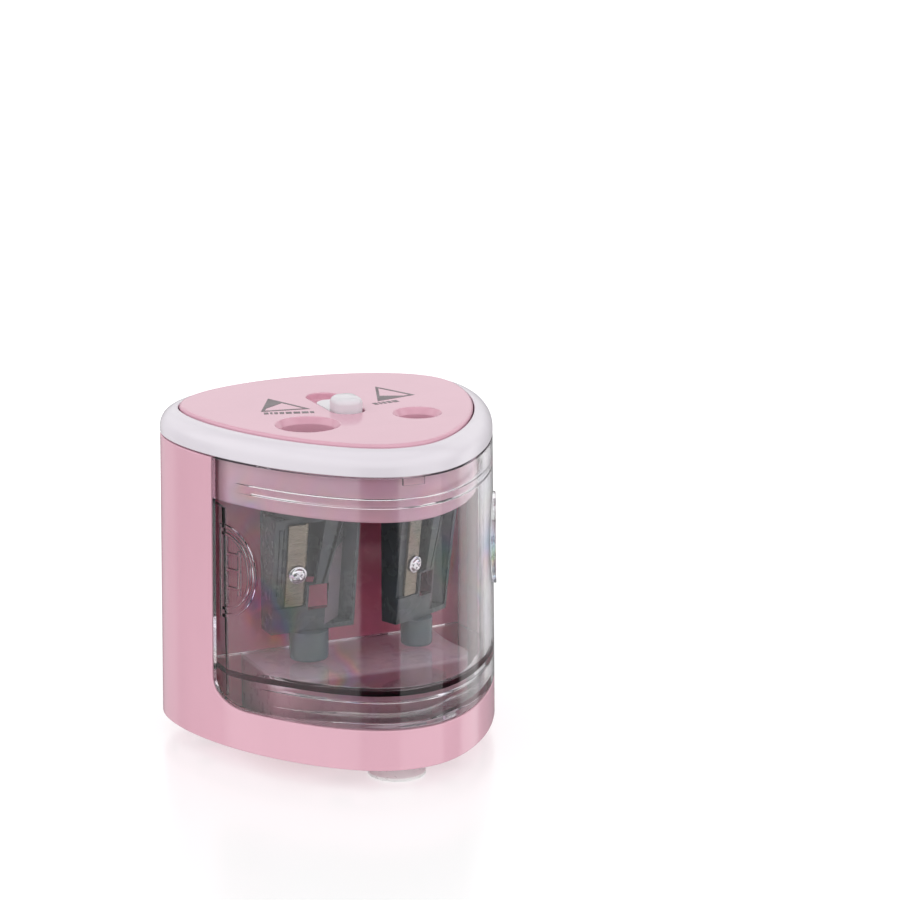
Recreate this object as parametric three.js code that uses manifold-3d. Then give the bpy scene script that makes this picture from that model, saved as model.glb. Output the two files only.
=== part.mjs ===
// Electric two-hole pencil sharpener: rounded-triangle housing, see-through
// shavings drawer, two rotating cutter heads, gear train, motor and cells.
// Millimetres, +Z up, front towards -Y, origin at the centre of the footprint on the table.
import * as THREE from "three";
import { mergeVertices } from "three/addons/utils/BufferGeometryUtils.js";
import Module from "manifold-3d";

const wasm = await Module();
wasm.setup();

// ---------- driving dimensions ----------
const PLAN_Y = 3.115; // plan curve centre, so the footprint is centred on the origin
const PLAN = [39.0959, 0, 1.07992, 3.29742, 0.03683, -0.18208, -0.22505]; // support curve
const PLAN_N = 48; // points round the outline
const DRAFT = 0.673; // housing is this much bigger all round at its foot
const Z_BODY = 4.8; // lower edge of the housing
const Z_RING = 71.97; // lower edge of the white ring
const Z_TOP = 78.27; // top face of the plate
const RING_IN = 4.2; // ring width in plan
const RING_TOP = 77.55; // upper edge of the ring
const WALL = 2.2; // housing wall
const GAP = 0.35; // clearance between neighbouring pieces

const WIN_Z = 14.2; // window lower edge
const WIN_Y = -4.6; // window side edges
const WIN_RY = 10; // window corner, along Y
const WIN_RZ = 6.1; // window corner, along Z

const HEAD_X = 13.4; // cutter axes
const HEAD_Y = -10.05;
const BORE_L = 6.3; // large pencil passage, radius
const BORE_S = 4.4; // small pencil passage, radius
const RIM_L = 7.25;
const RIM_S = 5.45;
const SMALL_TURN = 22.5; // degrees the small head stands turned at rest

const Z_DECK = 60.9; // gear deck underside
const DECK_T = 2.0;
const SKIRT = 3.3; // gear tray wall, in from the outline

const MODULE = 0.8;
const T_HEAD = 28;
const T_SMALL = 16;
const T_BIG = 24;
const T_PIN = 8;
const IDLER_Y = 1.36;
const MOTOR_Y = 14.16;

const CELL_R = 7.0;
const CELL_L = 50.5;
const CELL_Z = 12.7;
const CELL_PITCH = 14.4;

const DRAWER_T = 2.0;
const FLOOR_Z = 21.35; // drawer floor underside
const FLOOR_T = 1.45;

const SLOT_X = 3.9; // dish in the top plate for the slide button
const SLOT_Y0 = -5.1;
const SLOT_Y1 = 17.3;
const SLOT_D = 1.8;

// ---------- materials ----------
const mat = (color, roughness, metalness = 0, opacity = 1) =>
  new THREE.MeshStandardMaterial({
    color,
    roughness,
    metalness,
    opacity,
    transparent: opacity < 1,
  });

// ---------- helpers ----------
const RAD = Math.PI / 180;

function solid(geo) {
  const g = geo.index ? geo.toNonIndexed() : geo;
  const bare = new THREE.BufferGeometry().setAttribute(
    "position",
    g.getAttribute("position"),
  );
  const m = mergeVertices(bare, 1e-4);
  const idx = m.index.array;
  const keep = [];
  for (let i = 0; i < idx.length; i += 3)
    if (idx[i] !== idx[i + 1] && idx[i + 1] !== idx[i + 2] && idx[i] !== idx[i + 2])
      keep.push(idx[i], idx[i + 1], idx[i + 2]);
  return new wasm.Manifold(
    new wasm.Mesh({
      numProp: 3,
      vertProperties: new Float32Array(m.attributes.position.array),
      triVerts: new Uint32Array(keep),
    }),
  );
}

function geometry(man) {
  const m = man.getMesh();
  const v = new Float32Array(m.numVert * 3);
  for (let i = 0; i < m.numVert; i++)
    v.set(m.vertProperties.subarray(i * m.numProp, i * m.numProp + 3), i * 3);
  return new THREE.BufferGeometry()
    .setAttribute("position", new THREE.BufferAttribute(v, 3))
    .setIndex(new THREE.BufferAttribute(new Uint32Array(m.triVerts), 1));
}

// outline of the footprint, grown by o
function outline(o, n = PLAN_N) {
  const pts = [];
  for (let i = 0; i < n; i++) {
    const a = ((i + 0.5) / n) * 2 * Math.PI - Math.PI;
    let s = PLAN[0] + o;
    let d = 0;
    for (let k = 2; k < PLAN.length; k++) {
      s += PLAN[k] * Math.cos(k * a);
      d -= k * PLAN[k] * Math.sin(k * a);
    }
    pts.push([
      s * Math.sin(a) + d * Math.cos(a),
      PLAN_Y - s * Math.cos(a) + d * Math.sin(a),
    ]);
  }
  return pts;
}

const shape = (pts) => new THREE.Shape(pts.map(([x, y]) => new THREE.Vector2(x, y)));
const path = (pts) => new THREE.Path(pts.map(([x, y]) => new THREE.Vector2(x, y)));

// upright prism of a plan polygon
function prism(pts, z0, z1, holes = []) {
  const s = shape(pts);
  for (const h of holes) s.holes.push(path(h));
  const g = new THREE.ExtrudeGeometry(s, { depth: z1 - z0, bevelEnabled: false });
  g.translate(0, 0, z0);
  return solid(g);
}

// footprint prism whose wall leans by the housing draft
function drafted(o, z0, z1, n = PLAN_N) {
  const g = new THREE.ExtrudeGeometry(shape(outline(o, n)), {
    depth: z1 - z0,
    bevelEnabled: false,
  });
  g.translate(0, 0, z0);
  const p = g.getAttribute("position");
  for (let i = 0; i < p.count; i++) {
    const x = p.getX(i);
    const y = p.getY(i) - PLAN_Y;
    const k = 1 + (DRAFT * (Z_RING - p.getZ(i))) / (Z_RING - Z_BODY) / Math.hypot(x, y);
    p.setXY(i, x * k, y * k + PLAN_Y);
  }
  return solid(g);
}

// prism of a (y,z) polygon, drawn across x
function across(pts, x0, x1) {
  const g = new THREE.ExtrudeGeometry(shape(pts), { depth: x1 - x0, bevelEnabled: false });
  g.rotateY(Math.PI / 2);
  g.rotateX(Math.PI / 2); // (u,v,w) -> (w,u,v)
  g.translate(x0, 0, 0);
  return solid(g);
}

const box = (x0, x1, y0, y1, z0, z1) => {
  const g = new THREE.BoxGeometry(x1 - x0, y1 - y0, z1 - z0);
  g.translate((x0 + x1) / 2, (y0 + y1) / 2, (z0 + z1) / 2);
  return solid(g);
};

// round bar along z, r0 at z0 and r1 at z1
const bar = (x, y, z0, z1, r0, r1 = r0, n = 28) => {
  const g = new THREE.CylinderGeometry(r1, r0, z1 - z0, n);
  g.rotateX(Math.PI / 2);
  g.translate(x, y, (z0 + z1) / 2);
  return solid(g);
};

// turned solid from (radius, z) pairs that start and end on the axis
const turned = (prof, n = 28) => {
  const g = new THREE.LatheGeometry(
    prof.map(([r, z]) => new THREE.Vector2(r, z)),
    n,
  );
  g.rotateX(Math.PI / 2);
  return solid(g);
};

function stadium(x, y0, y1, n = 6) {
  const r = x;
  const pts = [];
  for (let i = 0; i <= n; i++) {
    const a = Math.PI + (i / n) * Math.PI;
    pts.push([r * Math.cos(a), y0 + r + r * Math.sin(a)]);
  }
  for (let i = 0; i <= n; i++) {
    const a = (i / n) * Math.PI;
    pts.push([r * Math.cos(a), y1 - r + r * Math.sin(a)]);
  }
  return pts;
}

function roundRect(x0, x1, y0, y1, r, n = 4) {
  const pts = [];
  for (const [cx, cy, a0] of [
    [x1 - r, y1 - r, 0],
    [x0 + r, y1 - r, 90],
    [x0 + r, y0 + r, 180],
    [x1 - r, y0 + r, 270],
  ])
    for (let i = 0; i <= n; i++) {
      const a = (a0 + (90 * i) / n) * RAD;
      pts.push([cx + r * Math.cos(a), cy + r * Math.sin(a)]);
    }
  return pts;
}

function gearOutline(teeth, phase) {
  const r = (MODULE * teeth) / 2;
  const p = Math.PI / teeth;
  const pts = [];
  for (let i = 0; i < teeth; i++) {
    const c = phase + i * 2 * p;
    for (const [rad, off] of [
      [r - 0.95, -0.6],
      [r + 0.65, -0.2],
      [r + 0.65, 0.2],
      [r - 0.95, 0.6],
    ])
      pts.push([rad * Math.cos(c + off * p), rad * Math.sin(c + off * p)]);
  }
  return pts;
}

const ring = (r, n = 28, x = 0, y = 0) =>
  Array.from({ length: n }, (_, i) => [
    x + r * Math.cos((i / n) * 2 * Math.PI),
    y + r * Math.sin((i / n) * 2 * Math.PI),
  ]);

const group = new THREE.Group();
group.name = "pencil_sharpener";

function put(name, man, material) {
  const mesh = new THREE.Mesh(geometry(man), material);
  mesh.name = name;
  group.add(mesh);
}

// ---------- window and drawer front share one cutting shape ----------
function windowProfile(grow) {
  const pts = [
    [-60, WIN_Z - grow],
    [-60, 90],
    [WIN_Y + grow, 90],
    [WIN_Y + grow, WIN_Z + WIN_RZ],
  ];
  for (let i = 1; i <= 5; i++) {
    const a = (i / 5) * (Math.PI / 2);
    pts.push([
      WIN_Y + grow - (WIN_RY + grow) * (1 - Math.cos(a)),
      WIN_Z + WIN_RZ - (WIN_RZ + grow) * Math.sin(a),
    ]);
  }
  return pts.reverse();
}
const windowCut = (grow) => across(windowProfile(grow), -60, 60);

// centre of each base screw and the point where its web meets the wall
const BASE_SCREWS = [
  [32.0, 9.0, 35.2, 8.4],
  [-32.0, 9.0, -35.2, 8.4],
  [13.3, -28.0, 15.7, -30.5],
  [-13.3, -28.0, -15.7, -30.5],
];

// ---------- housing ----------
{
  let s = drafted(0, Z_BODY, Z_RING - GAP).subtract(drafted(-WALL, Z_BODY - 1, Z_RING + 1));
  s = s.subtract(windowCut(0));
  // ledge that carries the gear deck round the back
  s = s.add(
    drafted(-WALL + 0.2, 58.6, 60.55)
      .subtract(drafted(-5.6, 58, 61))
      .intersect(box(-60, 60, 6.2, 60, 50, 70)),
  );
  // screw bosses, each tied to the wall by a web
  for (const [x, y, wx, wy] of BASE_SCREWS)
    s = s.add(
      bar(x, y, 6.75, 13.4, 2.6, 2.6, 12)
        .add(bar((x + wx) / 2, (y + wy) / 2, 6.75, 13.4, 1.8, 1.8, 10))
        .add(bar(wx, wy, 6.75, 13.4, 1.8, 1.8, 10))
        .intersect(drafted(-0.6, 5, 20))
        .subtract(bar(x, y, 6, 12.5, 1.25, 1.25, 10)),
    );
  put("housing_shell", s, mat(0xe6a9b6, 0.22));
}

// ---------- base tray with cell bay ----------
const BAY = { x: 24, y0: -19.7, y1: 36.4, z: 21.05 };
const bayIn = roundRect(-22.6, 22.6, -18.4, 35.2, 4.4, 3);
{
  let s = prism(outline(-WALL + DRAFT - GAP), Z_BODY, Z_BODY + 1.6);
  s = s.add(
    prism(roundRect(-BAY.x, BAY.x, BAY.y0, BAY.y1, 6, 4), Z_BODY, BAY.z).intersect(
      prism(outline(-WALL + DRAFT - GAP), 0, 60),
    ),
  );
  s = s.subtract(prism(bayIn, Z_BODY - 1, 19.9));
  // screw holes, countersunk so the heads sit inside the plate
  for (const [x, y] of BASE_SCREWS)
    s = s.subtract(bar(x, y, 4, 8, 1.5, 1.5, 10).add(bar(x, y, 4, 5.75, 2.55, 2.55, 16)));
  put("base_tray", s, mat(0xdf9fad, 0.4));
}

// cell door, latch at the back
{
  let s = prism(roundRect(-22.2, 22.2, -18.0, 34.8, 4.0, 3), 4.3, 5.4);
  s = s.subtract(prism(roundRect(-7, 7, 29.6, 32.6, 1.2, 2), 4.0, 4.75));
  s = s.add(box(-4, 4, 33.95, 34.75, 5.2, 7.0));
  put("battery_door", s, mat(0xdb9aa9, 0.42));
}

// cells lie front to back and alternate
[-1, 0, 1].forEach((k, i) => {
  const half = CELL_L / 2;
  const s = turned([
    [0, -half],
    [CELL_R - 0.6, -half],
    [CELL_R, -half + 0.6],
    [CELL_R, half - 2.0],
    [CELL_R - 0.6, half - 1.4],
    [2.75, half - 1.4],
    [2.75, half],
    [0, half],
  ], 20);
  const g = geometry(s);
  g.rotateX(k === 0 ? Math.PI / 2 : -Math.PI / 2); // +Z end to -Y or +Y
  g.translate(k * CELL_PITCH, k === 0 ? 8.35 : 9.1, CELL_Z);
  put("battery_cell_" + (i + 1), solid(g), mat(0x31584a, 0.35));
});

// contacts: thin plates, a cone of coil where a cell's flat end presses
function contact(xs, springs, back) {
  const h = back ? 0.9 : 1.3;
  const y = back ? 34.6 : -18.1;
  const s0 = Math.min(...xs) * CELL_PITCH - 4.2;
  const s1 = Math.max(...xs) * CELL_PITCH + 4.2;
  let s = box(s0, s1, y, y + 0.35, 7.4, 17.8);
  for (const k of springs) {
    const g = geometry(
      turned([
        [0, 0],
        [3.6, 0],
        [2.6, h],
        [0, h],
      ], 14),
    );
    g.rotateX(back ? Math.PI / 2 : -Math.PI / 2);
    g.translate(k * CELL_PITCH, back ? y + 0.1 : y + 0.3, CELL_Z);
    s = s.add(solid(g));
  }
  return s;
}
put("contact_front_bridge", contact([-1, 0], [-1], false), mat(0xc9c7bf, 0.3, 1));
put("contact_front_single", contact([1], [1], false), mat(0xc8c6be, 0.3, 1));
put("contact_rear_single", contact([-1], [], true), mat(0xc7c5bd, 0.3, 1));
put("contact_rear_bridge", contact([0, 1], [0], true), mat(0xc6c4bc, 0.3, 1));

// base screws
BASE_SCREWS.forEach(([x, y], i) => {
  const s = turned([
    [0, 4.85],
    [1.7, 4.85],
    [2.2, 5.1],
    [2.2, 5.5],
    [1.0, 5.5],
    [1.0, 12.0],
    [0, 12.0],
  ], 14).subtract(box(-1.5, 1.5, -0.3, 0.3, 4.5, 5.2)).translate([x, y, 0]);
  put("base_screw_" + (i + 1), s, mat(0xb9bcc0, 0.3, 1));
});

// soft feet: a broad one at the front, two smaller ones behind the cell door's corners
for (const [name, x, y, r] of [
  ["foot_front", 0, -28.4, 6.6],
  ["foot_rear_left", -27.4, 23.0, 4.9],
  ["foot_rear_right", 27.4, 23.0, 4.9],
]) {
  put(
    name,
    turned([
      [0, 0],
      [r, 0],
      [r - 0.2, 0.9],
      [r * 0.5, 2.6],
      [r * 0.66, 3.7],
      [r * 0.66, 4.5],
      [0, 4.5],
    ], 20).translate([x, y, 0]),
    mat(0xdfe6e4, 0.25, 0, 0.7),
  );
}

// ---------- chamber back wall ----------
{
  let s = box(-40, 40, 3.6, 5.3, 21.35, 60.55)
    .add(box(-40, -24.4, 3.6, 5.3, 6.75, 22))
    .add(box(24.4, 40, 3.6, 5.3, 6.75, 22));
  s = s.intersect(drafted(-WALL - GAP, 6, 62));
  // cutaways for the screw bosses
  for (const x of [34.6, -34.6]) s = s.subtract(bar(x, 5.6, 6, 13.8, 3.0, 3.0, 12));
  put("chamber_wall", s, mat(0xd98a9c, 0.35));
}

// ---------- gear deck ----------
const POSTS = [
  [29.6, 13.5],
  [-29.6, 13.5],
  [0, 32.4],
  [0, -31.0],
];
{
  const zt = Z_DECK + DECK_T;
  let s = prism(outline(-SKIRT), Z_DECK, 71.55).subtract(
    prism(outline(-SKIRT - 1.15), zt, 80),
  );
  for (const [x, y] of POSTS) s = s.add(bar(x, y, zt - 0.2, 74.5, 2.1, 2.1, 10));
  for (const k of [-1, 1]) {
    s = s.add(box(Math.min(k * 26.2, k * 28.6), Math.max(k * 26.2, k * 28.6), -4.9, 0.8, zt - 0.2, 67.0));
    s = s.add(bar(k * 22.5, 3.0, zt - 0.2, 68.0, 1.6, 1.6, 10));
  }
  s = s.add(bar(0, IDLER_Y, zt - 0.2, 63.1, 2.6, 2.6, 18));
  s = s.subtract(bar(-HEAD_X, HEAD_Y, 60, 64, 10.35, 10.35, 28));
  s = s.subtract(bar(HEAD_X, HEAD_Y, 60, 64, 8.6, 8.6, 26));
  s = s.subtract(bar(0, MOTOR_Y, 60, 64, 3.6, 3.6, 20));
  s = s.subtract(bar(0, IDLER_Y, 60, 64, 1.35, 1.35, 14));
  for (const k of [-1, 1]) {
    s = s.subtract(bar(k * 8, MOTOR_Y, 60, 64, 1.6, 1.6, 12));
    s = s.subtract(bar(k * 22.5, 3.0, 60, 69, 0.85, 0.85, 10));
  }
  put("gear_deck", s, mat(0xdd93a3, 0.35));
}

// ---------- bearing rings ----------
for (const [name, x, ri, ro] of [
  ["bearing_large", -HEAD_X, 8.9, 10.0],
  ["bearing_small", HEAD_X, 7.2, 8.25],
]) {
  const s = prism(ring(ro, 26), 60.9, 62.95, [ring(ri, 26)]).translate([x, HEAD_Y, 0]);
  put(name, s, mat(0xb98f4a, 0.35, 1));
}

// ---------- white ring ----------
{
  const bt = RING_TOP - 73.4;
  const g = new THREE.ExtrudeGeometry(shape(outline(0)), {
    depth: 6,
    bevelEnabled: true,
    bevelThickness: bt,
    bevelSize: RING_IN - 0.05,
    bevelOffset: -(RING_IN - 0.05),
    bevelSegments: 3,
  });
  g.translate(0, 0, RING_TOP - bt - 6);
  let s = solid(g).intersect(box(-60, 60, -60, 60, Z_RING, 90));
  s = s.subtract(prism(outline(-RING_IN), 60, 90));
  s = s.subtract(prism(outline(-2.2), 60, 73.1));
  put("top_ring", s, mat(0xeceaf0, 0.18));
}

// ---------- top plate ----------
{
  const g = new THREE.ExtrudeGeometry(shape(outline(-RING_IN - 0.3)), {
    depth: 2.37,
    bevelEnabled: true,
    bevelThickness: 0.5,
    bevelSize: 0.5,
    bevelOffset: -0.5,
    bevelSegments: 1,
  });
  g.translate(0, 0, Z_TOP - 2.87);
  let s = solid(g);
  s = s.add(bar(-HEAD_X, HEAD_Y, 71.6, 75.4, 7.9, 7.9, 26));
  s = s.add(bar(HEAD_X, HEAD_Y, 71.6, 75.4, 6.0, 6.0, 24));
  s = s.subtract(bar(-HEAD_X, HEAD_Y, 70, 80, BORE_L, BORE_L, 26));
  s = s.subtract(bar(HEAD_X, HEAD_Y, 70, 80, BORE_S, BORE_S, 24));
  s = s.subtract(bar(-HEAD_X, HEAD_Y, Z_TOP - 1.5, Z_TOP + 0.5, BORE_L, RIM_L + 0.32, 26));
  s = s.subtract(bar(HEAD_X, HEAD_Y, Z_TOP - 1.5, Z_TOP + 0.5, BORE_S, RIM_S + 0.35, 24));
  s = s.subtract(prism(stadium(SLOT_X, SLOT_Y0, SLOT_Y1), Z_TOP - SLOT_D, 90));
  s = s.subtract(box(-1.35, 1.35, -0.4, 8.0, 70, 90));
  put("top_plate", s, mat(0xe9b3bd, 0.15));
}

// ---------- slide button and its switch ----------
{
  let s = prism(stadium(3.3, -4.4, 12.1), 76.72, 77.85);
  const g = new THREE.ExtrudeGeometry(shape(roundRect(-3.35, 3.35, -4.2, 3.4, 2.6, 4)), {
    depth: 2.3,
    bevelEnabled: true,
    bevelThickness: 1.35,
    bevelSize: 1.35,
    bevelOffset: -1.35,
    bevelSegments: 3,
  });
  g.translate(0, 0, 77.95);
  s = s.add(solid(g).intersect(box(-9, 9, -9, 9, 77.7, 90)));
  s = s.add(box(-1.0, 1.0, 0, 2.6, 73.4, 76.9));
  put("slide_button", s, mat(0xf1f0f2, 0.3));
  const b = box(-4.5, 4.5, -3, 10.8, 71.5, 74.6).subtract(box(-1.35, 1.35, -0.4, 8.0, 73.05, 80));
  put("slide_switch", b, mat(0x2b2c2e, 0.5));
}

// ---------- shavings drawer ----------
{
  const front = windowCut(-GAP);
  const top = box(-60, 60, -60, 60, 0, Z_RING - GAP);
  let s = drafted(0, 10, 80).subtract(drafted(-DRAWER_T, 9, 81)).intersect(front).intersect(top);
  // finger pads: a half-ellipse on each flank
  const PAD_Y = -8.3;
  const PAD_Z = 46.3;
  const pad = [];
  for (let i = 0; i <= 12; i++) {
    const a = (i / 12) * Math.PI;
    pad.push([PAD_Y - 8.9 * Math.sin(a), PAD_Z + 10.8 * Math.cos(a)]);
  }
  const padCut = across(pad.reverse(), -60, 60);
  s = s.add(
    drafted(0.45, 20, 70).subtract(drafted(-0.4, 19, 71)).intersect(padCut).subtract(box(-20, 20, -60, 60, 0, 90)),
  );
  // floor, with the strengthening band at the wall
  const inner = drafted(-DRAWER_T + 0.2, 12, 75);
  const sides = box(-32, 32, -60, 3.2, 0, 90);
  s = s.add(box(-60, 60, -60, 3.2, FLOOR_Z, FLOOR_Z + FLOOR_T).intersect(inner).intersect(sides));
  s = s.add(
    inner
      .subtract(drafted(-DRAWER_T - 1.6, 11, 76))
      .intersect(box(-60, 60, -60, WIN_Y - 6, 20.6, FLOOR_Z + 0.2)),
  );
  // bottom rim
  s = s.add(
    inner
      .subtract(drafted(-DRAWER_T - 4, 11, 76))
      .intersect(box(-60, 60, -60, WIN_Y - 12, WIN_Z + GAP, 16.6)),
  );
  // stiffening rib under the gear tray edge
  s = s.add(
    inner
      .subtract(drafted(-DRAWER_T - 0.85, 11, 76))
      .intersect(box(-60, 60, -60, WIN_Y - 3, 64.8, 66.3)),
  );
  s = s.add(box(-4.2, 4.2, -38.6, -37.05, 64.8, 66.5));
  // catch at the upper edge
  s = s.add(box(-2.45, 2.45, -38.6, -37.1, 69.6, 71.5));
  // side walls running back into the chamber
  for (const k of [-1, 1]) {
    const x0 = Math.min(k * 31.1, k * 32.0);
    s = s.add(
      box(x0, x0 + 0.9, -12, 3.2, 16.6, 60.4)
        .intersect(drafted(-0.9, 12, 75))
        .intersect(windowCut(-GAP).add(drafted(-WALL - GAP, 12, 75))),
    );
  }
  s = s.subtract(prism(roundRect(-BAY.x - 0.45, BAY.x + 0.45, BAY.y0 - 0.45, 60, 6.4, 4), 0, BAY.z + 0.25));
  put("shavings_drawer", s, mat(0xa79aa0, 0.08, 0, 0.4));
}

// ---------- cutter heads ----------
const faceTilt = (p) => Math.atan((p.y1 - p.y0) / (58.5 - p.z0));
function headParts(p) {
  const tilt = faceTilt(p);
  // frame on the sloping front face: u across, w up the face, n outwards
  const onFace = (man) =>
    man.rotate([tilt / RAD, 0, 0]).translate([0, -p.y0, p.z0]);
  const faceBox = (u0, u1, w0, w1, n0, n1) => onFace(box(u0, u1, -n1, -n0, w0, w1));
  const faceBar = (u, w, n0, n1, r, n = 20) => {
    const g = new THREE.CylinderGeometry(r, r, n1 - n0, n);
    g.translate(u, -(n0 + n1) / 2, w);
    return onFace(solid(g));
  };
  let head = across(
    [
      [-p.y0, p.z0],
      [p.back - 1.6, p.z0],
      [p.back, p.z0 + 2],
      [p.back, 58.5],
      [-p.y1, 58.5],
    ],
    -p.half,
    p.half,
  );
  // chamfer the upright corners at the back
  for (const k of [-1, 1]) {
    head = head.subtract(
      prism(
        [
          [k * (p.half + 1), p.back - 2.4],
          [k * (p.half + 1), p.back + 1],
          [k * (p.half - 2.4), p.back + 1],
        ],
        20,
        70,
      ),
    );
  }
  head = head.add(bar(0, 0, 58.3, 63.0, p.journal, p.journal, 22));
  head = head.add(bar(0, 0, 62.8, 67.2, p.neck, p.neck, 22));
  head = head.subtract(bar(0, 0, 57, 70, p.bore, p.bore, 20));
  head = head.subtract(bar(0, 0, 33.5, 57.01, 0.7, p.bore, 20));
  // blade seat, shavings slot and its sloping flank
  head = head.subtract(faceBox(-p.half - 1, p.u1 + 0.1, p.w0 - 0.4, 40, -1.0, 6));
  head = head.subtract(faceBox(p.u1 - 0.4, p.u1 + 3.4, 11.5, 26.9, -p.deep, 6));
  {
    const g = new THREE.ExtrudeGeometry(
      shape([
        [p.u1 + 3.2, 11.5],
        [p.u1 + 7.2, 26.9],
        [p.u1 + 3.2, 26.9],
      ]),
      { depth: 6, bevelEnabled: false },
    );
    g.rotateX(Math.PI / 2);
    g.translate(0, 3.0, 0);
    head = head.subtract(onFace(solid(g)));
  }
  // square window at the point
  head = head.subtract(box(p.win[0], p.win[1], -12, 12, p.win[2], p.win[3]));
  head = head.subtract(faceBar(p.su, p.sw, -4.6, 2, 1.35, 12));
  const blade = faceBox(p.u0, p.u1, p.w0, p.w1, -0.7, 0.1)
    .subtract(faceBar(p.su, p.sw, -2, 2, 1.45, 16));
  const screw = faceBar(p.su, p.sw, 0.4, 1.5, p.sr, 16)
    .add(faceBar(p.su, p.sw, -4.2, 0.5, 1.05, 12))
    .subtract(faceBox(p.su - 1.3, p.su + 1.3, p.sw - 0.3, p.sw + 0.3, 0.9, 3))
    .subtract(faceBox(p.su - 0.3, p.su + 0.3, p.sw - 1.3, p.sw + 1.3, 0.9, 3));
  const stub = turned([
    [0, p.stub[1]],
    [p.stub[0] - 0.6, p.stub[1]],
    [p.stub[0], p.stub[1] + 0.6],
    [p.stub[0], p.z0 - 0.3],
    [0, p.z0 - 0.3],
  ], 20);
  return { head, blade, screw, stub };
}

const LARGE = {
  y0: 2.3, y1: 6.9, z0: 31.0, back: 6.0, half: 9.9,
  journal: 8.6, neck: 7.6, bore: BORE_L, deep: 3.6,
  u0: -7.0, u1: -2.1, w0: 6.6, w1: 26.6, su: -4.5, sw: 14.5, sr: 2.1,
  win: [-1.46, 3.41, 36.1, 42.2], stub: [4.45, 23.85],
};
const SMALL = {
  y0: 2.0, y1: 5.3, z0: 30.6, back: 5.0, half: 9.2,
  journal: 6.9, neck: 5.9, bore: BORE_S, deep: 2.8,
  u0: -7.3, u1: -2.6, w0: 6.6, w1: 26.6, su: -4.9, sw: 14.0, sr: 2.0,
  win: [-2.0, 3.2, 35.9, 41.6], stub: [3.9, 23.85],
};

const lineAngle = (k) => Math.atan2(HEAD_Y - IDLER_Y, k * HEAD_X);
const smallPhase = 0;
function headGear(k, bore) {
  // the tooth of the idler nearest the line of centres falls in a gap here
  const line = lineAngle(k);
  const step = (2 * Math.PI) / T_SMALL;
  let d = (smallPhase - line) % step;
  if (d > step / 2) d -= step;
  if (d < -step / 2) d += step;
  const gapAt = line + Math.PI - (d * T_SMALL) / T_HEAD;
  const phase = gapAt + Math.PI / T_HEAD;
  return prism(gearOutline(T_HEAD, phase), 63.3, 66.9, [ring(bore, 24)]);
}

for (const [tag, p, k, turn] of [
  ["large", LARGE, -1, 0],
  ["small", SMALL, 1, SMALL_TURN],
]) {
  const { head, blade, screw, stub } = headParts(p);
  const at = (m) => m.rotate([0, 0, turn]).translate([k * HEAD_X, HEAD_Y, 0]);
  put("cutter_head_" + tag, at(head), mat(0x4c5355, 0.42));
  put("blade_" + tag, at(blade), mat(0xb9a58f, 0.25, 1));
  put("blade_screw_" + tag, at(screw), mat(0xd4d2cf, 0.2, 1));
  put("tip_stub_" + tag, at(stub), mat(0x565c5e, 0.42));
  put(
    "head_gear_" + tag,
    headGear(k, p.neck + 0.3).translate([k * HEAD_X, HEAD_Y, 0]),
    mat(0xe6e3da, 0.5),
  );
}

// ---------- idler ----------
{
  const lower = prism(gearOutline(T_SMALL, smallPhase), 63.4, 67.9);
  const upper = prism(gearOutline(T_BIG, Math.PI / 2), 67.8, 70.9);
  const s = lower.add(upper).subtract(bar(0, 0, 60, 75, 1.55, 1.55, 16));
  put("idler_gear", s.translate([0, IDLER_Y, 0]), mat(0xe3e0d6, 0.5));
  put(
    "idler_axle",
    turned([
      [0, 61.1],
      [1.05, 61.1],
      [1.2, 61.3],
      [1.2, 71.0],
      [1.0, 71.2],
      [0, 71.2],
    ], 16).translate([0, IDLER_Y, 0]),
    mat(0xbfc2c4, 0.25, 1),
  );
}

// ---------- motor ----------
{
  const R = 12.1;
  const F = 8.5;
  const flat = (z0, z1, r, f) =>
    bar(0, 0, z0, z1, r, r, 28).intersect(box(-30, 30, -f, f, z0 - 1, z1 + 1));
  let can = flat(33.2, 60.5, R, F);
  can = can.add(bar(0, 0, 60.4, 62.2, 3.0, 3.0, 20));
  can = can.subtract(bar(0, 0, 50, 64, 1.35, 1.35, 14));
  for (const k of [-1, 1]) can = can.subtract(bar(k * 8, 0, 57.5, 62, 1.15, 1.15, 12));
  put("motor_can", can.translate([0, MOTOR_Y, 0]), mat(0xb4b7b8, 0.35, 1));
  let end = flat(30.2, 32.9, R - 0.6, F - 0.4).add(bar(0, 0, 28.8, 30.3, 3.0, 3.0, 18));
  for (const k of [-1, 1]) end = end.add(box(k * 8 - 1, k * 8 + 1, -0.3, 0.3, 26.2, 30.4));
  put("motor_endbell", end.translate([0, MOTOR_Y, 0]), mat(0xe9e6dd, 0.5));
  put(
    "motor_shaft",
    bar(0, 0, 50.4, 71.3, 1.0, 1.0, 14).translate([0, MOTOR_Y, 0]),
    mat(0xc6c9ca, 0.2, 1),
  );
  const pin = prism(gearOutline(T_PIN, -Math.PI / 2 + Math.PI / T_PIN), 67.4, 71.1, [
    ring(1.3, 14),
  ]);
  put("motor_pinion", pin.translate([0, MOTOR_Y, 0]), mat(0xd8b45c, 0.35, 1));
  for (const [n, k] of [
    ["left", -1],
    ["right", 1],
  ])
    put(
      "motor_screw_" + n,
      turned([
        [0, 58.0],
        [0.85, 58.0],
        [0.85, 63.2],
        [2.2, 63.2],
        [2.2, 64.7],
        [0, 64.7],
      ], 12)
        .subtract(box(-1.4, 1.4, -0.3, 0.3, 64.1, 66))
        .translate([k * 8, MOTOR_Y, 0]),
      mat(0xc1c3c5, 0.3, 1),
    );
}

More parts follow.
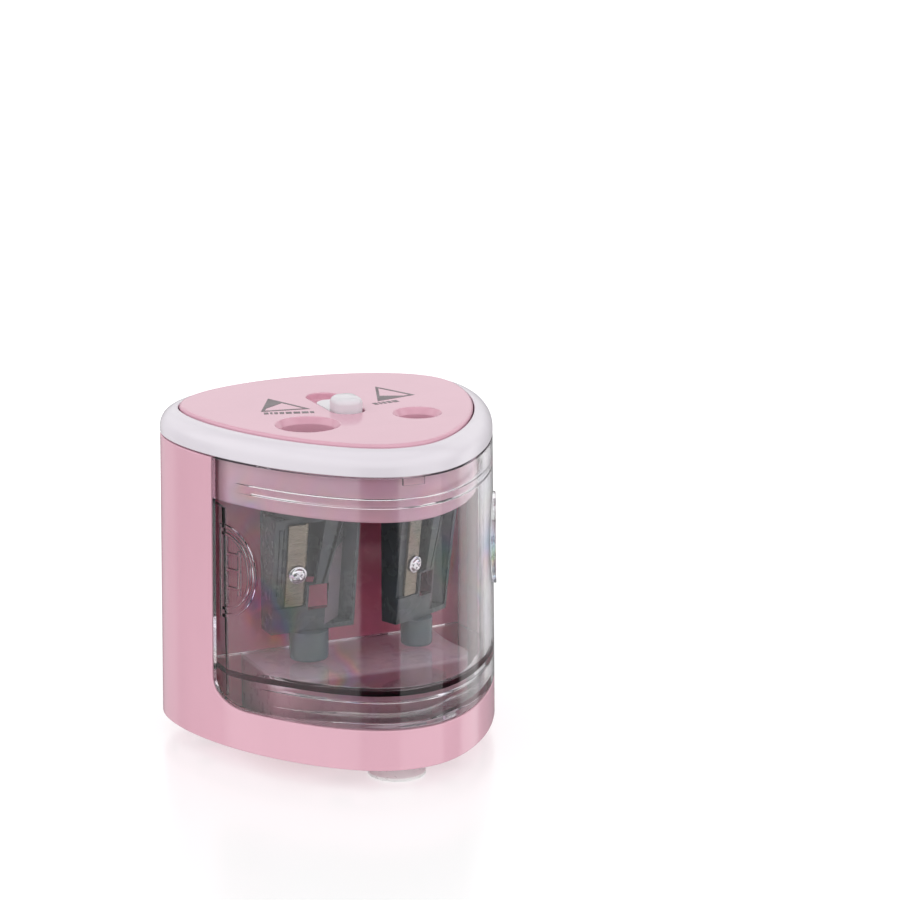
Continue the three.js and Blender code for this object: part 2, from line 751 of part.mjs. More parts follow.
// ---------- start switches: a lever reaches into each pencil passage ----------
for (const [tag, k, tipX] of [
  ["large", -1, 18.4],
  ["small", 1, 17.1],
]) {
  const px = 22.5;
  const py = 3.0;
  const tx = tipX;
  const ty = HEAD_Y;
  const L = Math.hypot(px - tx, py - ty);
  const ux = (tx - px) / L;
  const uy = (ty - py) / L;
  const vx = -uy;
  const vy = ux;
  const arm = [
    [px + vx * -1.1, py + vy * -1.1],
    [tx + vx * -0.1 + ux * 0.2, ty + vy * -0.1 + uy * 0.2],
    [tx - vx * 0.0 + ux * 1.2, ty - vy * 0.0 + uy * 1.2],
    [tx + vx * 1.7 + ux * 1.0, ty + vy * 1.7 + uy * 1.0],
    [px + vx * 1.2, py + vy * 1.2],
  ].map(([x, y]) => [k * x, y]);
  if (k < 0) arm.reverse();
  let s = prism(arm, 68.4, 70.6);
  s = s.add(bar(k * px, py, 68.4, 70.6, 2.1, 2.1, 18));
  s = s.subtract(bar(k * px, py, 66, 72, 0.95, 0.95, 14));
  put("start_lever_" + tag, s, mat(0xe8e6e0, 0.5));
  put(
    "lever_pin_" + tag,
    bar(k * px, py, 64.2, 71.2, 0.6, 0.6, 12),
    mat(0xbfc2c4, 0.25, 1),
  );
  let b = box(Math.min(k * 23.6, k * 28.8), Math.max(k * 23.6, k * 28.8), -5.2, 0.6, 67.3, 71.3);
  b = b.add(box(Math.min(k * 23.1, k * 24), Math.max(k * 23.1, k * 24), -3.6, -2.2, 68.8, 70.2));
  put("start_switch_" + tag, b, mat(0x232426, 0.5));
}

export default group;
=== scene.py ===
import math

import bmesh
import bpy
from mathutils import Matrix, Vector
from mathutils.geometry import tessellate_polygon


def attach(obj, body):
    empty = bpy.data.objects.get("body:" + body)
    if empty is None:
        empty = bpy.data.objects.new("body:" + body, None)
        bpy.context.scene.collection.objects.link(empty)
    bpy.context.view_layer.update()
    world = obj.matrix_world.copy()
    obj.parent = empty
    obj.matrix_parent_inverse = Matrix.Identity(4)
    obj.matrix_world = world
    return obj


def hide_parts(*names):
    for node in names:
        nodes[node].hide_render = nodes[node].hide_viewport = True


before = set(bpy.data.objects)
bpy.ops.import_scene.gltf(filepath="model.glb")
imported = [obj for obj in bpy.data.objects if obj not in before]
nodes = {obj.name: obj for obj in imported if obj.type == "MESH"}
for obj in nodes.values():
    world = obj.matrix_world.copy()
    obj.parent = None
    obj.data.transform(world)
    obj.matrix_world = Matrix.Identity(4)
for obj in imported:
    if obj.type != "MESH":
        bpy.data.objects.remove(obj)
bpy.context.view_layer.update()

scene = bpy.context.scene
S = 0.001  # everything below is drawn in millimetres
RAD = math.pi / 180

# ------------------------------------------------------------------ plan curve
PLAN = (39.0959, 0, 1.07992, 3.29742, 0.03683, -0.18208, -0.22505)
PLAN_Y = 3.115
Z_BODY, Z_RING, Z_TOP = 4.8, 71.97, 78.27
GAP = 0.35
WIN_Z, WIN_Y, WIN_RY, WIN_RZ = 14.2, -4.6, 10.0, 6.1
HEAD_X, HEAD_Y = 13.4, -10.05


def plan(a, o):
    s, d = o, 0.0
    for k, c in enumerate(PLAN):
        s += c * math.cos(k * a)
        d -= k * c * math.sin(k * a)
    return s * math.sin(a) + d * math.cos(a), PLAN_Y - s * math.cos(a) + d * math.sin(a)


def draft(z):
    return 0.673 * max(0.0, 71.97 - z) / 67.17


def wall(a, z, o):
    x, y = plan(a, o + draft(z))
    return (x, y, z)


def angle_at(y, o):
    """Right-hand angle where the plan curve, grown by o, reaches y."""
    lo, hi = 0.0, math.pi
    for _ in range(40):
        m = (lo + hi) / 2
        if plan(m, o)[1] < y:
            lo = m
        else:
            hi = m
    return (lo + hi) / 2


def angle_x(x, o):
    """Angle in the front right quarter where the curve reaches x."""
    lo, hi = 0.0, 80 * RAD
    for _ in range(40):
        m = (lo + hi) / 2
        if plan(m, o)[0] < x:
            lo = m
        else:
            hi = m
    return (lo + hi) / 2


# ------------------------------------------------------------------ mesh tools
class Solid:
    def __init__(self):
        self.v, self.f = [], []

    def pts(self, pts):
        n = len(self.v)
        self.v += [tuple(p) for p in pts]
        return list(range(n, len(self.v)))

    def strip(self, a, b, closed=True):
        n = len(a)
        for i in range(n if closed else n - 1):
            j = (i + 1) % n
            self.f.append((a[i], a[j], b[j], b[i]))

    def cap(self, *loops):
        flat = [i for lp in loops for i in lp]
        tris = tessellate_polygon([[Vector(self.v[i]) for i in lp] for lp in loops])
        self.f += [tuple(flat[i] for i in t) for t in tris]

    def chain(self, loops, cap0=True, cap1=True):
        ids = [self.pts(lp) for lp in loops]
        for a, b in zip(ids, ids[1:]):
            self.strip(a, b)
        if cap0:
            self.f.append(tuple(ids[0]))
        if cap1:
            self.f.append(tuple(ids[-1]))
        return ids

    def box(self, x0, x1, y0, y1, z0, z1, m=None):
        p = [(x, y, z) for z in (z0, z1) for x, y in ((x0, y0), (x1, y0), (x1, y1), (x0, y1))]
        if m is not None:
            p = [tuple(m @ Vector(q)) for q in p]
        i = self.pts(p)
        self.f += [tuple(i[k] for k in q) for q in
                   ((3, 2, 1, 0), (4, 5, 6, 7), (0, 1, 5, 4), (1, 2, 6, 5), (2, 3, 7, 6), (3, 0, 4, 7))]

    def bar(self, x, y, z0, z1, r0, r1=None, n=48, m=None):
        r1 = r0 if r1 is None else r1
        lp = []
        for z, r in ((z0, r0), (z1, r1)):
            q = [(x + r * math.cos(2 * math.pi * i / n), y + r * math.sin(2 * math.pi * i / n), z) for i in range(n)]
            lp.append([tuple(m @ Vector(p)) for p in q] if m is not None else q)
        self.chain(lp)

    def prism(self, pts, z0, z1, m=None):
        lp = []
        for z in (z0, z1):
            q = [(x, y, z) for x, y in pts]
            lp.append([tuple(m @ Vector(p)) for p in q] if m is not None else q)
        a, b = self.pts(lp[0]), self.pts(lp[1])
        self.strip(a, b)
        self.cap(a)
        self.cap(b)

    def turned(self, prof, x=0, y=0, n=64, m=None):
        """(r, z) pairs, first and last on the axis."""
        rings = []
        for r, z in prof:
            if r < 1e-6:
                q = [(x, y, z)]
            else:
                q = [(x + r * math.cos(2 * math.pi * i / n), y + r * math.sin(2 * math.pi * i / n), z) for i in range(n)]
            rings.append(self.pts([tuple(m @ Vector(p)) for p in q] if m is not None else q))
        for a, b in zip(rings, rings[1:]):
            if len(a) == 1:
                self.f += [(a[0], b[i], b[(i + 1) % n]) for i in range(n)]
            elif len(b) == 1:
                self.f += [(b[0], a[(i + 1) % n], a[i]) for i in range(n)]
            else:
                self.strip(a, b)


def clean(me, merge=2e-7):
    bm = bmesh.new()
    bm.from_mesh(me)
    bmesh.ops.remove_doubles(bm, verts=bm.verts, dist=merge)
    bmesh.ops.dissolve_degenerate(bm, dist=1e-8, edges=bm.edges)
    bmesh.ops.recalc_face_normals(bm, faces=bm.faces)
    bm.to_mesh(me)
    bm.free()


def raw(name, solid, fix=True):
    me = bpy.data.meshes.new(name)
    me.from_pydata([(x * S, y * S, z * S) for x, y, z in solid.v], [], solid.f)
    me.validate()
    if fix:
        clean(me)
    ob = bpy.data.objects.new(name, me)
    scene.collection.objects.link(ob)
    return ob


def bake(ob):
    """Replace an object's mesh by its evaluated one."""
    bpy.context.view_layer.update()
    dg = bpy.context.evaluated_depsgraph_get()
    me = bpy.data.meshes.new_from_object(ob.evaluated_get(dg), depsgraph=dg)
    old = ob.data
    ob.modifiers.clear()
    ob.data = me
    bpy.data.meshes.remove(old)
    return ob


def boolean(ob, other, op="UNION", self_=False):
    m = ob.modifiers.new("b", "BOOLEAN")
    m.operation = op
    m.solver = "MANIFOLD"
    m.object = other
    bake(ob)
    me = other.data
    bpy.data.objects.remove(other)
    bpy.data.meshes.remove(me)
    return ob


def finish_piece(ob, material, bevel=0.0, seg=2, angle=32, sharp=42, weighted=True):
    if bevel:
        m = ob.modifiers.new("bev", "BEVEL")
        m.width = bevel * S
        m.segments = seg
        m.limit_method = "ANGLE"
        m.angle_limit = angle * RAD
        m.miter_outer = "MITER_ARC"
        m.use_clamp_overlap = True
        bake(ob)
    bm = bmesh.new()
    bm.from_mesh(ob.data)
    for f in bm.faces:
        f.smooth = True
    for e in bm.edges:
        e.smooth = not (len(e.link_faces) == 2 and e.calc_face_angle(0) > sharp * RAD)
    bm.to_mesh(ob.data)
    bm.free()
    if weighted:
        m = ob.modifiers.new("wn", "WEIGHTED_NORMAL")
        m.mode = "FACE_AREA"
        m.weight = 60
        m.keep_sharp = True
        bake(ob)
    ob.data.materials.clear()
    ob.data.materials.append(material)
    return ob


def piece(name, solid, material, body, slot, replaces=(), **kw):
    ob = raw(name, solid)
    return place(ob, material, body, slot, replaces, **kw)


def place(ob, material, body, slot, replaces=(), **kw):
    finish_piece(ob, material, **kw)
    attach(ob, body)
    if replaces:
        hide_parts(*replaces)
    return ob


def stadium(x, y0, y1, n=24, o=0.0):
    r = x + o
    pts = []
    for i in range(n + 1):
        t = math.pi + math.pi * i / n
        pts.append((r * math.cos(t), y0 + x + r * math.sin(t)))
    for i in range(n + 1):
        t = math.pi * i / n
        pts.append((r * math.cos(t), y1 - x + r * math.sin(t)))
    return pts


def round_rect(x0, x1, y0, y1, r, n=10, o=0.0):
    pts = []
    for cx, cy, a0 in ((x1 - r, y1 - r, 0), (x0 + r, y1 - r, 90), (x0 + r, y0 + r, 180), (x1 - r, y0 + r, 270)):
        for i in range(n + 1):
            a = (a0 + 90 * i / n) * RAD
            pts.append((cx + (r + o) * math.cos(a), cy + (r + o) * math.sin(a)))
    return pts


def circle(x, y, r, n=96):
    return [(x + r * math.cos(2 * math.pi * i / n), y + r * math.sin(2 * math.pi * i / n)) for i in range(n)]


def outline(o, n=240):
    return [plan(2 * math.pi * (i + 0.5) / n - math.pi, o) for i in range(n)]


def lift(pts, z):
    return [(x, y, z) for x, y in pts]


def fillet(z, r, n=4, up=True):
    """(inset, z) pairs that round an upper edge at z with radius r, from the wall to the face."""
    return [(r * (1 - math.cos(t)), z - r + r * math.sin(t)) for t in (math.pi / 2 * i / n for i in range(n + 1))]


# ------------------------------------------------------------------ shader tools
def new_material(name):
    m = bpy.data.materials.new(name)
    m.use_nodes = True
    nt = m.node_tree
    return m, nt, nt.nodes["Principled BSDF"]


def node(nt, kind, **kw):
    n = nt.nodes.new(kind)
    for k, v in kw.items():
        setattr(n, k, v)
    return n


def noise(nt, scale, detail=3.0, rough=0.55, stretch=(1, 1, 1), offset=(0, 0, 0)):
    tc = node(nt, "ShaderNodeTexCoord")
    mp = node(nt, "ShaderNodeMapping")
    mp.inputs["Scale"].default_value = stretch
    mp.inputs["Location"].default_value = offset
    nt.links.new(tc.outputs["Object"], mp.inputs["Vector"])
    n = node(nt, "ShaderNodeTexNoise")
    n.inputs["Scale"].default_value = scale
    n.inputs["Detail"].default_value = detail
    n.inputs["Roughness"].default_value = rough
    nt.links.new(mp.outputs["Vector"], n.inputs["Vector"])
    return n.outputs["Fac"]


def ranged(nt, src, a, b, lo=0.3, hi=0.7):
    n = node(nt, "ShaderNodeMapRange")
    n.inputs["From Min"].default_value = lo
    n.inputs["From Max"].default_value = hi
    n.inputs["To Min"].default_value = a
    n.inputs["To Max"].default_value = b
    nt.links.new(src, n.inputs["Value"])
    return n.outputs["Result"]


def mixed(nt, fac, c1, c2, blend="MIX"):
    n = node(nt, "ShaderNodeMix", data_type="RGBA", blend_type=blend)
    for sock, c in ((n.inputs[6], c1), (n.inputs[7], c2)):
        if isinstance(c, bpy.types.NodeSocket):
            nt.links.new(c, sock)
        else:
            sock.default_value = (*c, 1)
    if isinstance(fac, bpy.types.NodeSocket):
        nt.links.new(fac, n.inputs[0])
    else:
        n.inputs[0].default_value = fac
    return n.outputs[2]


def math_node(nt, op, a, b=None):
    n = node(nt, "ShaderNodeMath", operation=op)
    for i, v in enumerate((a, b)):
        if v is None:
            continue
        if isinstance(v, bpy.types.NodeSocket):
            nt.links.new(v, n.inputs[i])
        else:
            n.inputs[i].default_value = v
    return n.outputs[0]


def bumped(nt, b, height, strength, distance):
    n = node(nt, "ShaderNodeBump")
    n.inputs["Strength"].default_value = strength
    n.inputs["Distance"].default_value = distance
    nt.links.new(height, n.inputs["Height"])
    nt.links.new(n.outputs["Normal"], b.inputs["Normal"])


def shade(c, k):
    return tuple(min(1.0, v * k) for v in c)


def plastic(name, colour, rough=(0.12, 0.22), vary=0.05, grain=0.05, grain_scale=2600.0, flow=70.0,
            subsurface=0.0, coat=0.0, ior=1.5):
    m, nt, b = new_material(name)
    flow_n = noise(nt, flow, 4, 0.5, stretch=(1, 1, 0.45))
    nt.links.new(mixed(nt, ranged(nt, flow_n, 0, 1), shade(colour, 1 - vary), shade(colour, 1 + vary)),
                 b.inputs["Base Color"])
    smear = noise(nt, 260.0, 5, 0.6, offset=(3, 1, 2))
    nt.links.new(ranged(nt, smear, rough[0], rough[1]), b.inputs["Roughness"])
    b.inputs["IOR"].default_value = ior
    if subsurface:
        b.inputs["Subsurface Weight"].default_value = subsurface
        b.inputs["Subsurface Radius"].default_value = (1.0, 0.55, 0.5)
        b.inputs["Subsurface Scale"].default_value = 0.0015
    if coat:
        b.inputs["Coat Weight"].default_value = coat
        b.inputs["Coat Roughness"].default_value = 0.06
    bumped(nt, b, noise(nt, grain_scale, 2, 0.5, offset=(7, 7, 7)), grain, 0.00002)
    return m


def metal(name, colour, rough=(0.18, 0.32), vary=0.08, brush=(1, 1, 1), brush_scale=900.0, grain=0.08):
    m, nt, b = new_material(name)
    tone = noise(nt, 300.0, 4, 0.6)
    nt.links.new(mixed(nt, ranged(nt, tone, 0, 1), shade(colour, 1 - vary), shade(colour, 1 + vary)),
                 b.inputs["Base Color"])
    b.inputs["Metallic"].default_value = 1.0
    line = noise(nt, brush_scale, 5, 0.65, stretch=brush)
    nt.links.new(ranged(nt, line, rough[0], rough[1]), b.inputs["Roughness"])
    bumped(nt, b, line, grain, 0.00002)
    return m


PINK = (0.690, 0.400, 0.480)
PINK_IN = (0.560, 0.215, 0.285)
M = {}
M["pink"] = plastic("pink_plastic", PINK, rough=(0.10, 0.17), vary=0.02, grain=0.03, subsurface=0.0)
M["pink_top"] = plastic("pink_top_plastic", (0.670, 0.375, 0.462), rough=(0.07, 0.11), vary=0.02, grain=0.05)
M["pink_in"] = plastic("pink_inner_plastic", PINK_IN, rough=(0.24, 0.34), vary=0.04, grain=0.12)


def tray_painted_light_and_shade_material():
    """Base tray: painted shade darkens it from about 15 mm down towards its foot, its bottom face stays a lighter pink,
    and painted light makes its roof pale where it carries the drawer.
    """
    m, nt, b = new_material("tray_painted_light_and_shade_plastic")
    tc = node(nt, "ShaderNodeTexCoord")
    sep = node(nt, "ShaderNodeSeparateXYZ")
    nt.links.new(tc.outputs["Object"], sep.inputs[0])

    def step(z0, z1):
        r = node(nt, "ShaderNodeMapRange", interpolation_type="SMOOTHSTEP")
        r.inputs["From Min"].default_value = z0 * S
        r.inputs["From Max"].default_value = z1 * S
        nt.links.new(sep.outputs["Z"], r.inputs["Value"])
        return r.outputs["Result"]

    # painted shade: the tray's front grows darker below about 15 mm; only the bottom face below 5 mm keeps a lighter
    # pink
    painted_shade = mixed(nt, step(8.0, 15.0), (0.20, 0.085, 0.115), (0.46, 0.20, 0.265))
    painted_shade = mixed(nt, step(5.0, 5.5), (0.80, 0.52, 0.61), painted_shade)
    # painted light: the roof above about 20 mm is pale, as if lit through the drawer floor
    painted_light_and_shade = mixed(nt, step(19.6, 20.7), painted_shade, (0.93, 0.71, 0.80))
    tone = mixed(nt, ranged(nt, noise(nt, 70.0, 4, 0.5), 0, 1), (0.97, 0.97, 0.97), (1.0, 1.0, 1.0))
    nt.links.new(mixed(nt, 1.0, painted_light_and_shade, tone, "MULTIPLY"), b.inputs["Base Color"])
    nt.links.new(ranged(nt, noise(nt, 260.0, 5, 0.6), 0.24, 0.34), b.inputs["Roughness"])
    bumped(nt, b, noise(nt, 2600.0, 2, 0.5), 0.1, 0.00002)
    return m


M["tray_painted_light_and_shade"] = tray_painted_light_and_shade_material()
M["pink_deck"] = plastic("pink_deck_plastic", (0.745, 0.430, 0.530), rough=(0.16, 0.26), vary=0.03, grain=0.06)
M["white"] = plastic("white_plastic", (0.72, 0.68, 0.73), rough=(0.20, 0.24), vary=0.015, grain=0.015)
M["knob"] = plastic("white_knob_plastic", (0.70, 0.68, 0.71), rough=(0.18, 0.26), vary=0.015, grain=0.05)
M["head"] = plastic("head_plastic", (0.055, 0.066, 0.072), rough=(0.22, 0.30), vary=0.05, grain=0.04)
# painted light: a lighter copy of the head plastic, for the head faces that would catch the light
M["head_light"] = plastic("head_plastic_painted_light", (0.245, 0.205, 0.235), rough=(0.16, 0.22), vary=0.04, grain=0.03)
M["gear"] = plastic("gear_plastic", (0.74, 0.71, 0.63), rough=(0.35, 0.5), vary=0.04, grain=0.15)
M["black"] = plastic("black_plastic", (0.018, 0.018, 0.020), rough=(0.35, 0.5), vary=0.1, grain=0.2)
M["endbell"] = plastic("endbell_nylon", (0.72, 0.70, 0.64), rough=(0.4, 0.55), vary=0.04, grain=0.2)
M["print"] = plastic("print_ink", (0.115, 0.085, 0.095), rough=(0.3, 0.42), vary=0.1, grain=0.1)
M["blade"] = metal("blade_steel", (0.25, 0.215, 0.17), rough=(0.22, 0.36), vary=0.1, brush=(0.15, 1, 3), brush_scale=2400, grain=0.12)
M["screw"] = metal("screw_steel", (0.80, 0.80, 0.82), rough=(0.08, 0.16), vary=0.05)
M["base_screw"] = metal("base_screw_steel", (0.42, 0.37, 0.38), rough=(0.42, 0.58), vary=0.06)
M["steel"] = metal("pin_steel", (0.70, 0.70, 0.71), rough=(0.15, 0.28), vary=0.05, brush=(1, 1, 0.1))
M["contact"] = metal("contact_steel", (0.72, 0.69, 0.62), rough=(0.2, 0.35), vary=0.06)
M["brass"] = metal("brass", (0.78, 0.56, 0.26), rough=(0.22, 0.36), vary=0.08)
M["can"] = metal("motor_steel", (0.60, 0.61, 0.62), rough=(0.25, 0.42), vary=0.06, brush=(1, 1, 0.12))


def foot_material():
    m, nt, b = new_material("foot_rubber")
    n = noise(nt, 400, 4, 0.6)
    nt.links.new(mixed(nt, ranged(nt, n, 0, 1), (0.90, 0.94, 0.92), (0.95, 0.98, 0.96)), b.inputs["Base Color"])
    b.inputs["Transmission Weight"].default_value = 0.2
    b.inputs["IOR"].default_value = 1.42
    nt.links.new(ranged(nt, noise(nt, 900, 3, 0.6), 0.25, 0.42), b.inputs["Roughness"])
    bumped(nt, b, noise(nt, 3000, 2, 0.5), 0.15, 0.00003)
    return m


M["foot"] = foot_material()


def cell_material():
    m, nt, b = new_material("cell_wrap")
    tc = node(nt, "ShaderNodeTexCoord")
    sep = node(nt, "ShaderNodeSeparateXYZ")
    nt.links.new(tc.outputs["Object"], sep.inputs[0])
    y = sep.outputs["Y"]
    # a light band round the wrap and bare metal at the two ends
    band = math_node(nt, "GREATER_THAN", y, 0.024)
    ends = math_node(nt, "GREATER_THAN", math_node(nt, "ABSOLUTE", math_node(nt, "SUBTRACT", y, 0.0088)), 0.0243)
    tone = noise(nt, 220, 3, 0.5)
    wrap = mixed(nt, ranged(nt, tone, 0, 1), (0.020, 0.085, 0.060), (0.030, 0.110, 0.078))
    col = mixed(nt, band, wrap, (0.62, 0.60, 0.55))
    nt.links.new(mixed(nt, ends, col, (0.66, 0.65, 0.62)), b.inputs["Base Color"])
    nt.links.new(ends, b.inputs["Metallic"])
    nt.links.new(ranged(nt, noise(nt, 600, 3, 0.6), 0.25, 0.38), b.inputs["Roughness"])
    bumped(nt, b, noise(nt, 1500, 3, 0.5), 0.08, 0.00003)
    return m


M["cell"] = cell_material()


def smoke_material():
    """Clear smoke-grey styrene: bends light, tinted through its thickness, with faint stress colours."""
    m, nt, b = new_material("smoke_plastic")
    out = nt.nodes["Material Output"]
    # stress colours: a slow wave turned into hues, in the zones where the moulding was filled and ejected
    wave = noise(nt, 62.0, 2.0, 0.5, stretch=(1, 1, 0.8), offset=(0.4, 0.9, 0.2))
    hue = math_node(nt, "FRACT", math_node(nt, "MULTIPLY", wave, 6.0))
    ramp = node(nt, "ShaderNodeValToRGB")
    cr = ramp.color_ramp
    cr.elements[0].position, cr.elements[0].color = 0.0, (1.0, 0.40, 0.44, 1)
    cr.elements[1].position, cr.elements[1].color = 1.0, (1.0, 0.40, 0.44, 1)
    for p, c in ((0.17, (1.0, 0.84, 0.26)), (0.34, (0.38, 0.92, 0.36)), (0.52, (0.26, 0.70, 0.95)),
                 (0.68, (0.40, 0.40, 1.0)), (0.84, (0.80, 0.36, 0.92))):
        e = cr.elements.new(p)
        e.color = (*c, 1)
    nt.links.new(hue, ramp.inputs[0])
    tc = node(nt, "ShaderNodeTexCoord")
    where = None
    for (cx, cy, cz), radius, k in (
        ((-27.4, -20.4, 38.5), 10.5, 1.0), ((-30.0, -14.0, 61.0), 9.0, 0.22), ((9.0, -37.5, 52.0), 9.0, 0.30),
        ((27.0, -21.0, 47.0), 9.0, 0.34), ((33.5, -6.0, 36.0), 12.0, 0.30), ((-14.0, -34.0, 27.0), 9.0, 0.40),
    ):
        ds = node(nt, "ShaderNodeVectorMath", operation="DISTANCE")
        nt.links.new(tc.outputs["Object"], ds.inputs[0])
        ds.inputs[1].default_value = (cx * S, cy * S, cz * S)
        r = node(nt, "ShaderNodeMapRange", interpolation_type="SMOOTHSTEP")
        r.inputs["From Min"].default_value = radius * 0.25 * S
        r.inputs["From Max"].default_value = radius * S
        r.inputs["To Min"].default_value = k
        r.inputs["To Max"].default_value = 0.0
        nt.links.new(ds.outputs["Value"], r.inputs["Value"])
        where = r.outputs["Result"] if where is None else math_node(nt, "MAXIMUM", where, r.outputs["Result"])
    where = math_node(nt, "ADD", where, 0.05)
    nt.links.new(mixed(nt, where, (0.985, 0.975, 0.98), ramp.outputs["Color"]), b.inputs["Base Color"])
    b.inputs["Transmission Weight"].default_value = 1.0
    b.inputs["IOR"].default_value = 1.50
    nt.links.new(ranged(nt, noise(nt, 500, 4, 0.6), 0.0, 0.035), b.inputs["Roughness"])
    bumped(nt, b, noise(nt, 120, 3, 0.5), 0.03, 0.0001)
    tr = node(nt, "ShaderNodeBsdfTransparent")
    tr.inputs["Color"].default_value = (0.96, 0.955, 0.96, 1)
    lp = node(nt, "ShaderNodeLightPath")
    mx = node(nt, "ShaderNodeMixShader")
    nt.links.new(lp.outputs["Is Shadow Ray"], mx.inputs[0])
    nt.links.new(b.outputs[0], mx.inputs[1])
    nt.links.new(tr.outputs[0], mx.inputs[2])
    nt.links.new(mx.outputs[0], out.inputs["Surface"])
    va = node(nt, "ShaderNodeVolumeAbsorption")
    va.inputs["Color"].default_value = (0.600, 0.575, 0.610, 1)
    va.inputs["Density"].default_value = 85.0
    nt.links.new(va.outputs[0], out.inputs["Volume"])
    return m


M["smoke"] = smoke_material()

# ------------------------------------------------------------------ sheets that follow the housing wall
def sheet_solid(quads, o_out, o_in, r, seg=3, name="sheet"):
    """Closed wall from (angle, z) quads: outer face at o_out, inner at o_in, rims rounded by r."""
    key, params, faces = {}, [], []

    def idx(p):
        a, z = p
        if abs(abs(a) - math.pi) < 1e-6:
            a = math.pi
        k = (round(a, 5), round(z, 4))
        if k not in key:
            key[k] = len(params)
            params.append((a, z))
        return key[k]

    for q in quads:
        f = []
        for p in q:
            i = idx(p)
            if i not in f:
                f.append(i)
        if len(f) > 2:
            faces.append(tuple(f))
    n = len(params)
    bm = bmesh.new()
    vo = [bm.verts.new([c * S for c in wall(a, z, o_out)]) for a, z in params]
    vi = [bm.verts.new([c * S for c in wall(a, z, o_in)]) for a, z in params]
    count = {}
    for f in faces:
        for i in range(len(f)):
            a, b = f[i], f[(i + 1) % len(f)]
            count.setdefault(frozenset((a, b)), []).append((a, b))
    for f in faces:
        bm.faces.new([vo[i] for i in f])
        bm.faces.new([vi[i] for i in reversed(f)])
    rims = [v[0] for v in count.values() if len(v) == 1]
    for a, b in rims:
        bm.faces.new([vo[b], vo[a], vi[a], vi[b]])
    bmesh.ops.recalc_face_normals(bm, faces=bm.faces)
    if r:
        edges = []
        for a, b in rims:
            edges.append(bm.edges.get((vo[a], vo[b])))
            edges.append(bm.edges.get((vi[a], vi[b])))
        bmesh.ops.bevel(bm, geom=edges, offset=r * S, offset_type="OFFSET", segments=seg, profile=0.5,
                        affect="EDGES", clamp_overlap=True)
    me = bpy.data.meshes.new(name)
    bm.to_mesh(me)
    bm.free()
    ob = bpy.data.objects.new(name, me)
    scene.collection.objects.link(ob)
    return ob


def lerp(a, b, t):
    return a + (b - a) * t


def transfinite(B, T, L, R):
    nu, nv = len(B) - 1, len(L) - 1
    P = []
    for j in range(nv + 1):
        v = j / nv
        row = []
        for i in range(nu + 1):
            u = i / nu
            row.append(tuple(
                (1 - v) * B[i][k] + v * T[i][k] + (1 - u) * L[j][k] + u * R[j][k]
                - ((1 - u) * (1 - v) * B[0][k] + u * (1 - v) * B[-1][k] + (1 - u) * v * T[0][k] + u * v * T[-1][k])
                for k in (0, 1)))
        P.append(row)
    return [(P[j][i], P[j][i + 1], P[j + 1][i + 1], P[j + 1][i]) for j in range(nv) for i in range(nu)]


def window_side(grow, n_arc=8, n_up=22, top=Z_RING - GAP):
    """(angle, z) along the right side of the window: from the middle of the lower corner to the top."""
    pts = []
    cy, cz = WIN_Y - WIN_RY, WIN_Z + WIN_RZ
    ry, rz = WIN_RY + grow, WIN_RZ + grow
    for i in range(n_arc + 1):
        t = math.pi / 4 * (1 - i / n_arc)
        y, z = cy + ry * math.cos(t), cz - rz * math.sin(t)
        pts.append((angle_at(y, draft(z)), z))
    for i in range(1, n_up + 1):
        z = lerp(cz, top, i / n_up)
        pts.append((angle_at(WIN_Y + grow, draft(z)), z))
    return pts


def window_foot(grow, n_arc=8, n_mid=72):
    """(angle, z) along the lower edge, left to right, between the middles of the corners."""
    cy, cz = WIN_Y - WIN_RY, WIN_Z + WIN_RZ
    ry, rz = WIN_RY + grow, WIN_RZ + grow
    right = []
    for i in range(n_arc + 1):
        t = math.pi / 4 + math.pi / 4 * (1 - i / n_arc)
        y, z = cy + ry * math.cos(t), cz - rz * math.sin(t)
        right.append((angle_at(y, draft(z)), z))
    a0 = right[0][0]
    mid = [(-a0 + 2 * a0 * i / n_mid, cz - rz) for i in range(1, n_mid)]
    left = [(-a, z) for a, z in reversed(right)]
    return left + mid + right


# ------------------------------------------------------------------ housing shell
def build_shell():
    side = window_side(0.0)
    foot = window_foot(0.0)
    a45 = side[0][0]
    n1 = 6
    zs = [lerp(Z_BODY, side[0][1], i / n1) for i in range(n1)]
    left_edge = [(a45, z) for z in zs] + side
    top_z = left_edge[-1][1]
    nv = len(left_edge) - 1
    span = [(math.pi, lerp(Z_BODY, top_z, (p[1] - Z_BODY) / (top_z - Z_BODY))) for p in left_edge]
    nu = 54
    quads = []
    for sgn in (1, -1):
        rows = []
        for (a0, z0), (a1, z1) in zip(left_edge, span):
            rows.append([(sgn * lerp(a0, a1, i / nu), lerp(z0, z1, i / nu)) for i in range(nu + 1)])
        for j in range(nv):
            for i in range(nu):
                quads.append((rows[j][i], rows[j][i + 1], rows[j + 1][i + 1], rows[j + 1][i]))
    base = [(a, Z_BODY) for a, _ in foot]
    for j in range(n1):
        for i in range(len(foot) - 1):
            q = []
            for ii, jj in ((i, j), (i + 1, j), (i + 1, j + 1), (i, j + 1)):
                t = jj / n1
                q.append((foot[ii][0], lerp(base[ii][1], foot[ii][1], t)))
            quads.append(tuple(q))
    ob = sheet_solid(quads, 0.0, -2.2, 0.32, 3, "shell")
    return place(ob, M["pink"], "housing", "pink_plastic", ["housing_shell"])


build_shell()

# ------------------------------------------------------------------ white ring
def sweep(name, prof, n=240):
    s = Solid()
    loops = []
    for o, z in prof:
        loops.append(s.pts([(*plan(2 * math.pi * (i + 0.5) / n - math.pi, o), z) for i in range(n)]))
    for a, b in zip(loops, loops[1:] + loops[:1]):
        s.strip(a, b)
    return s


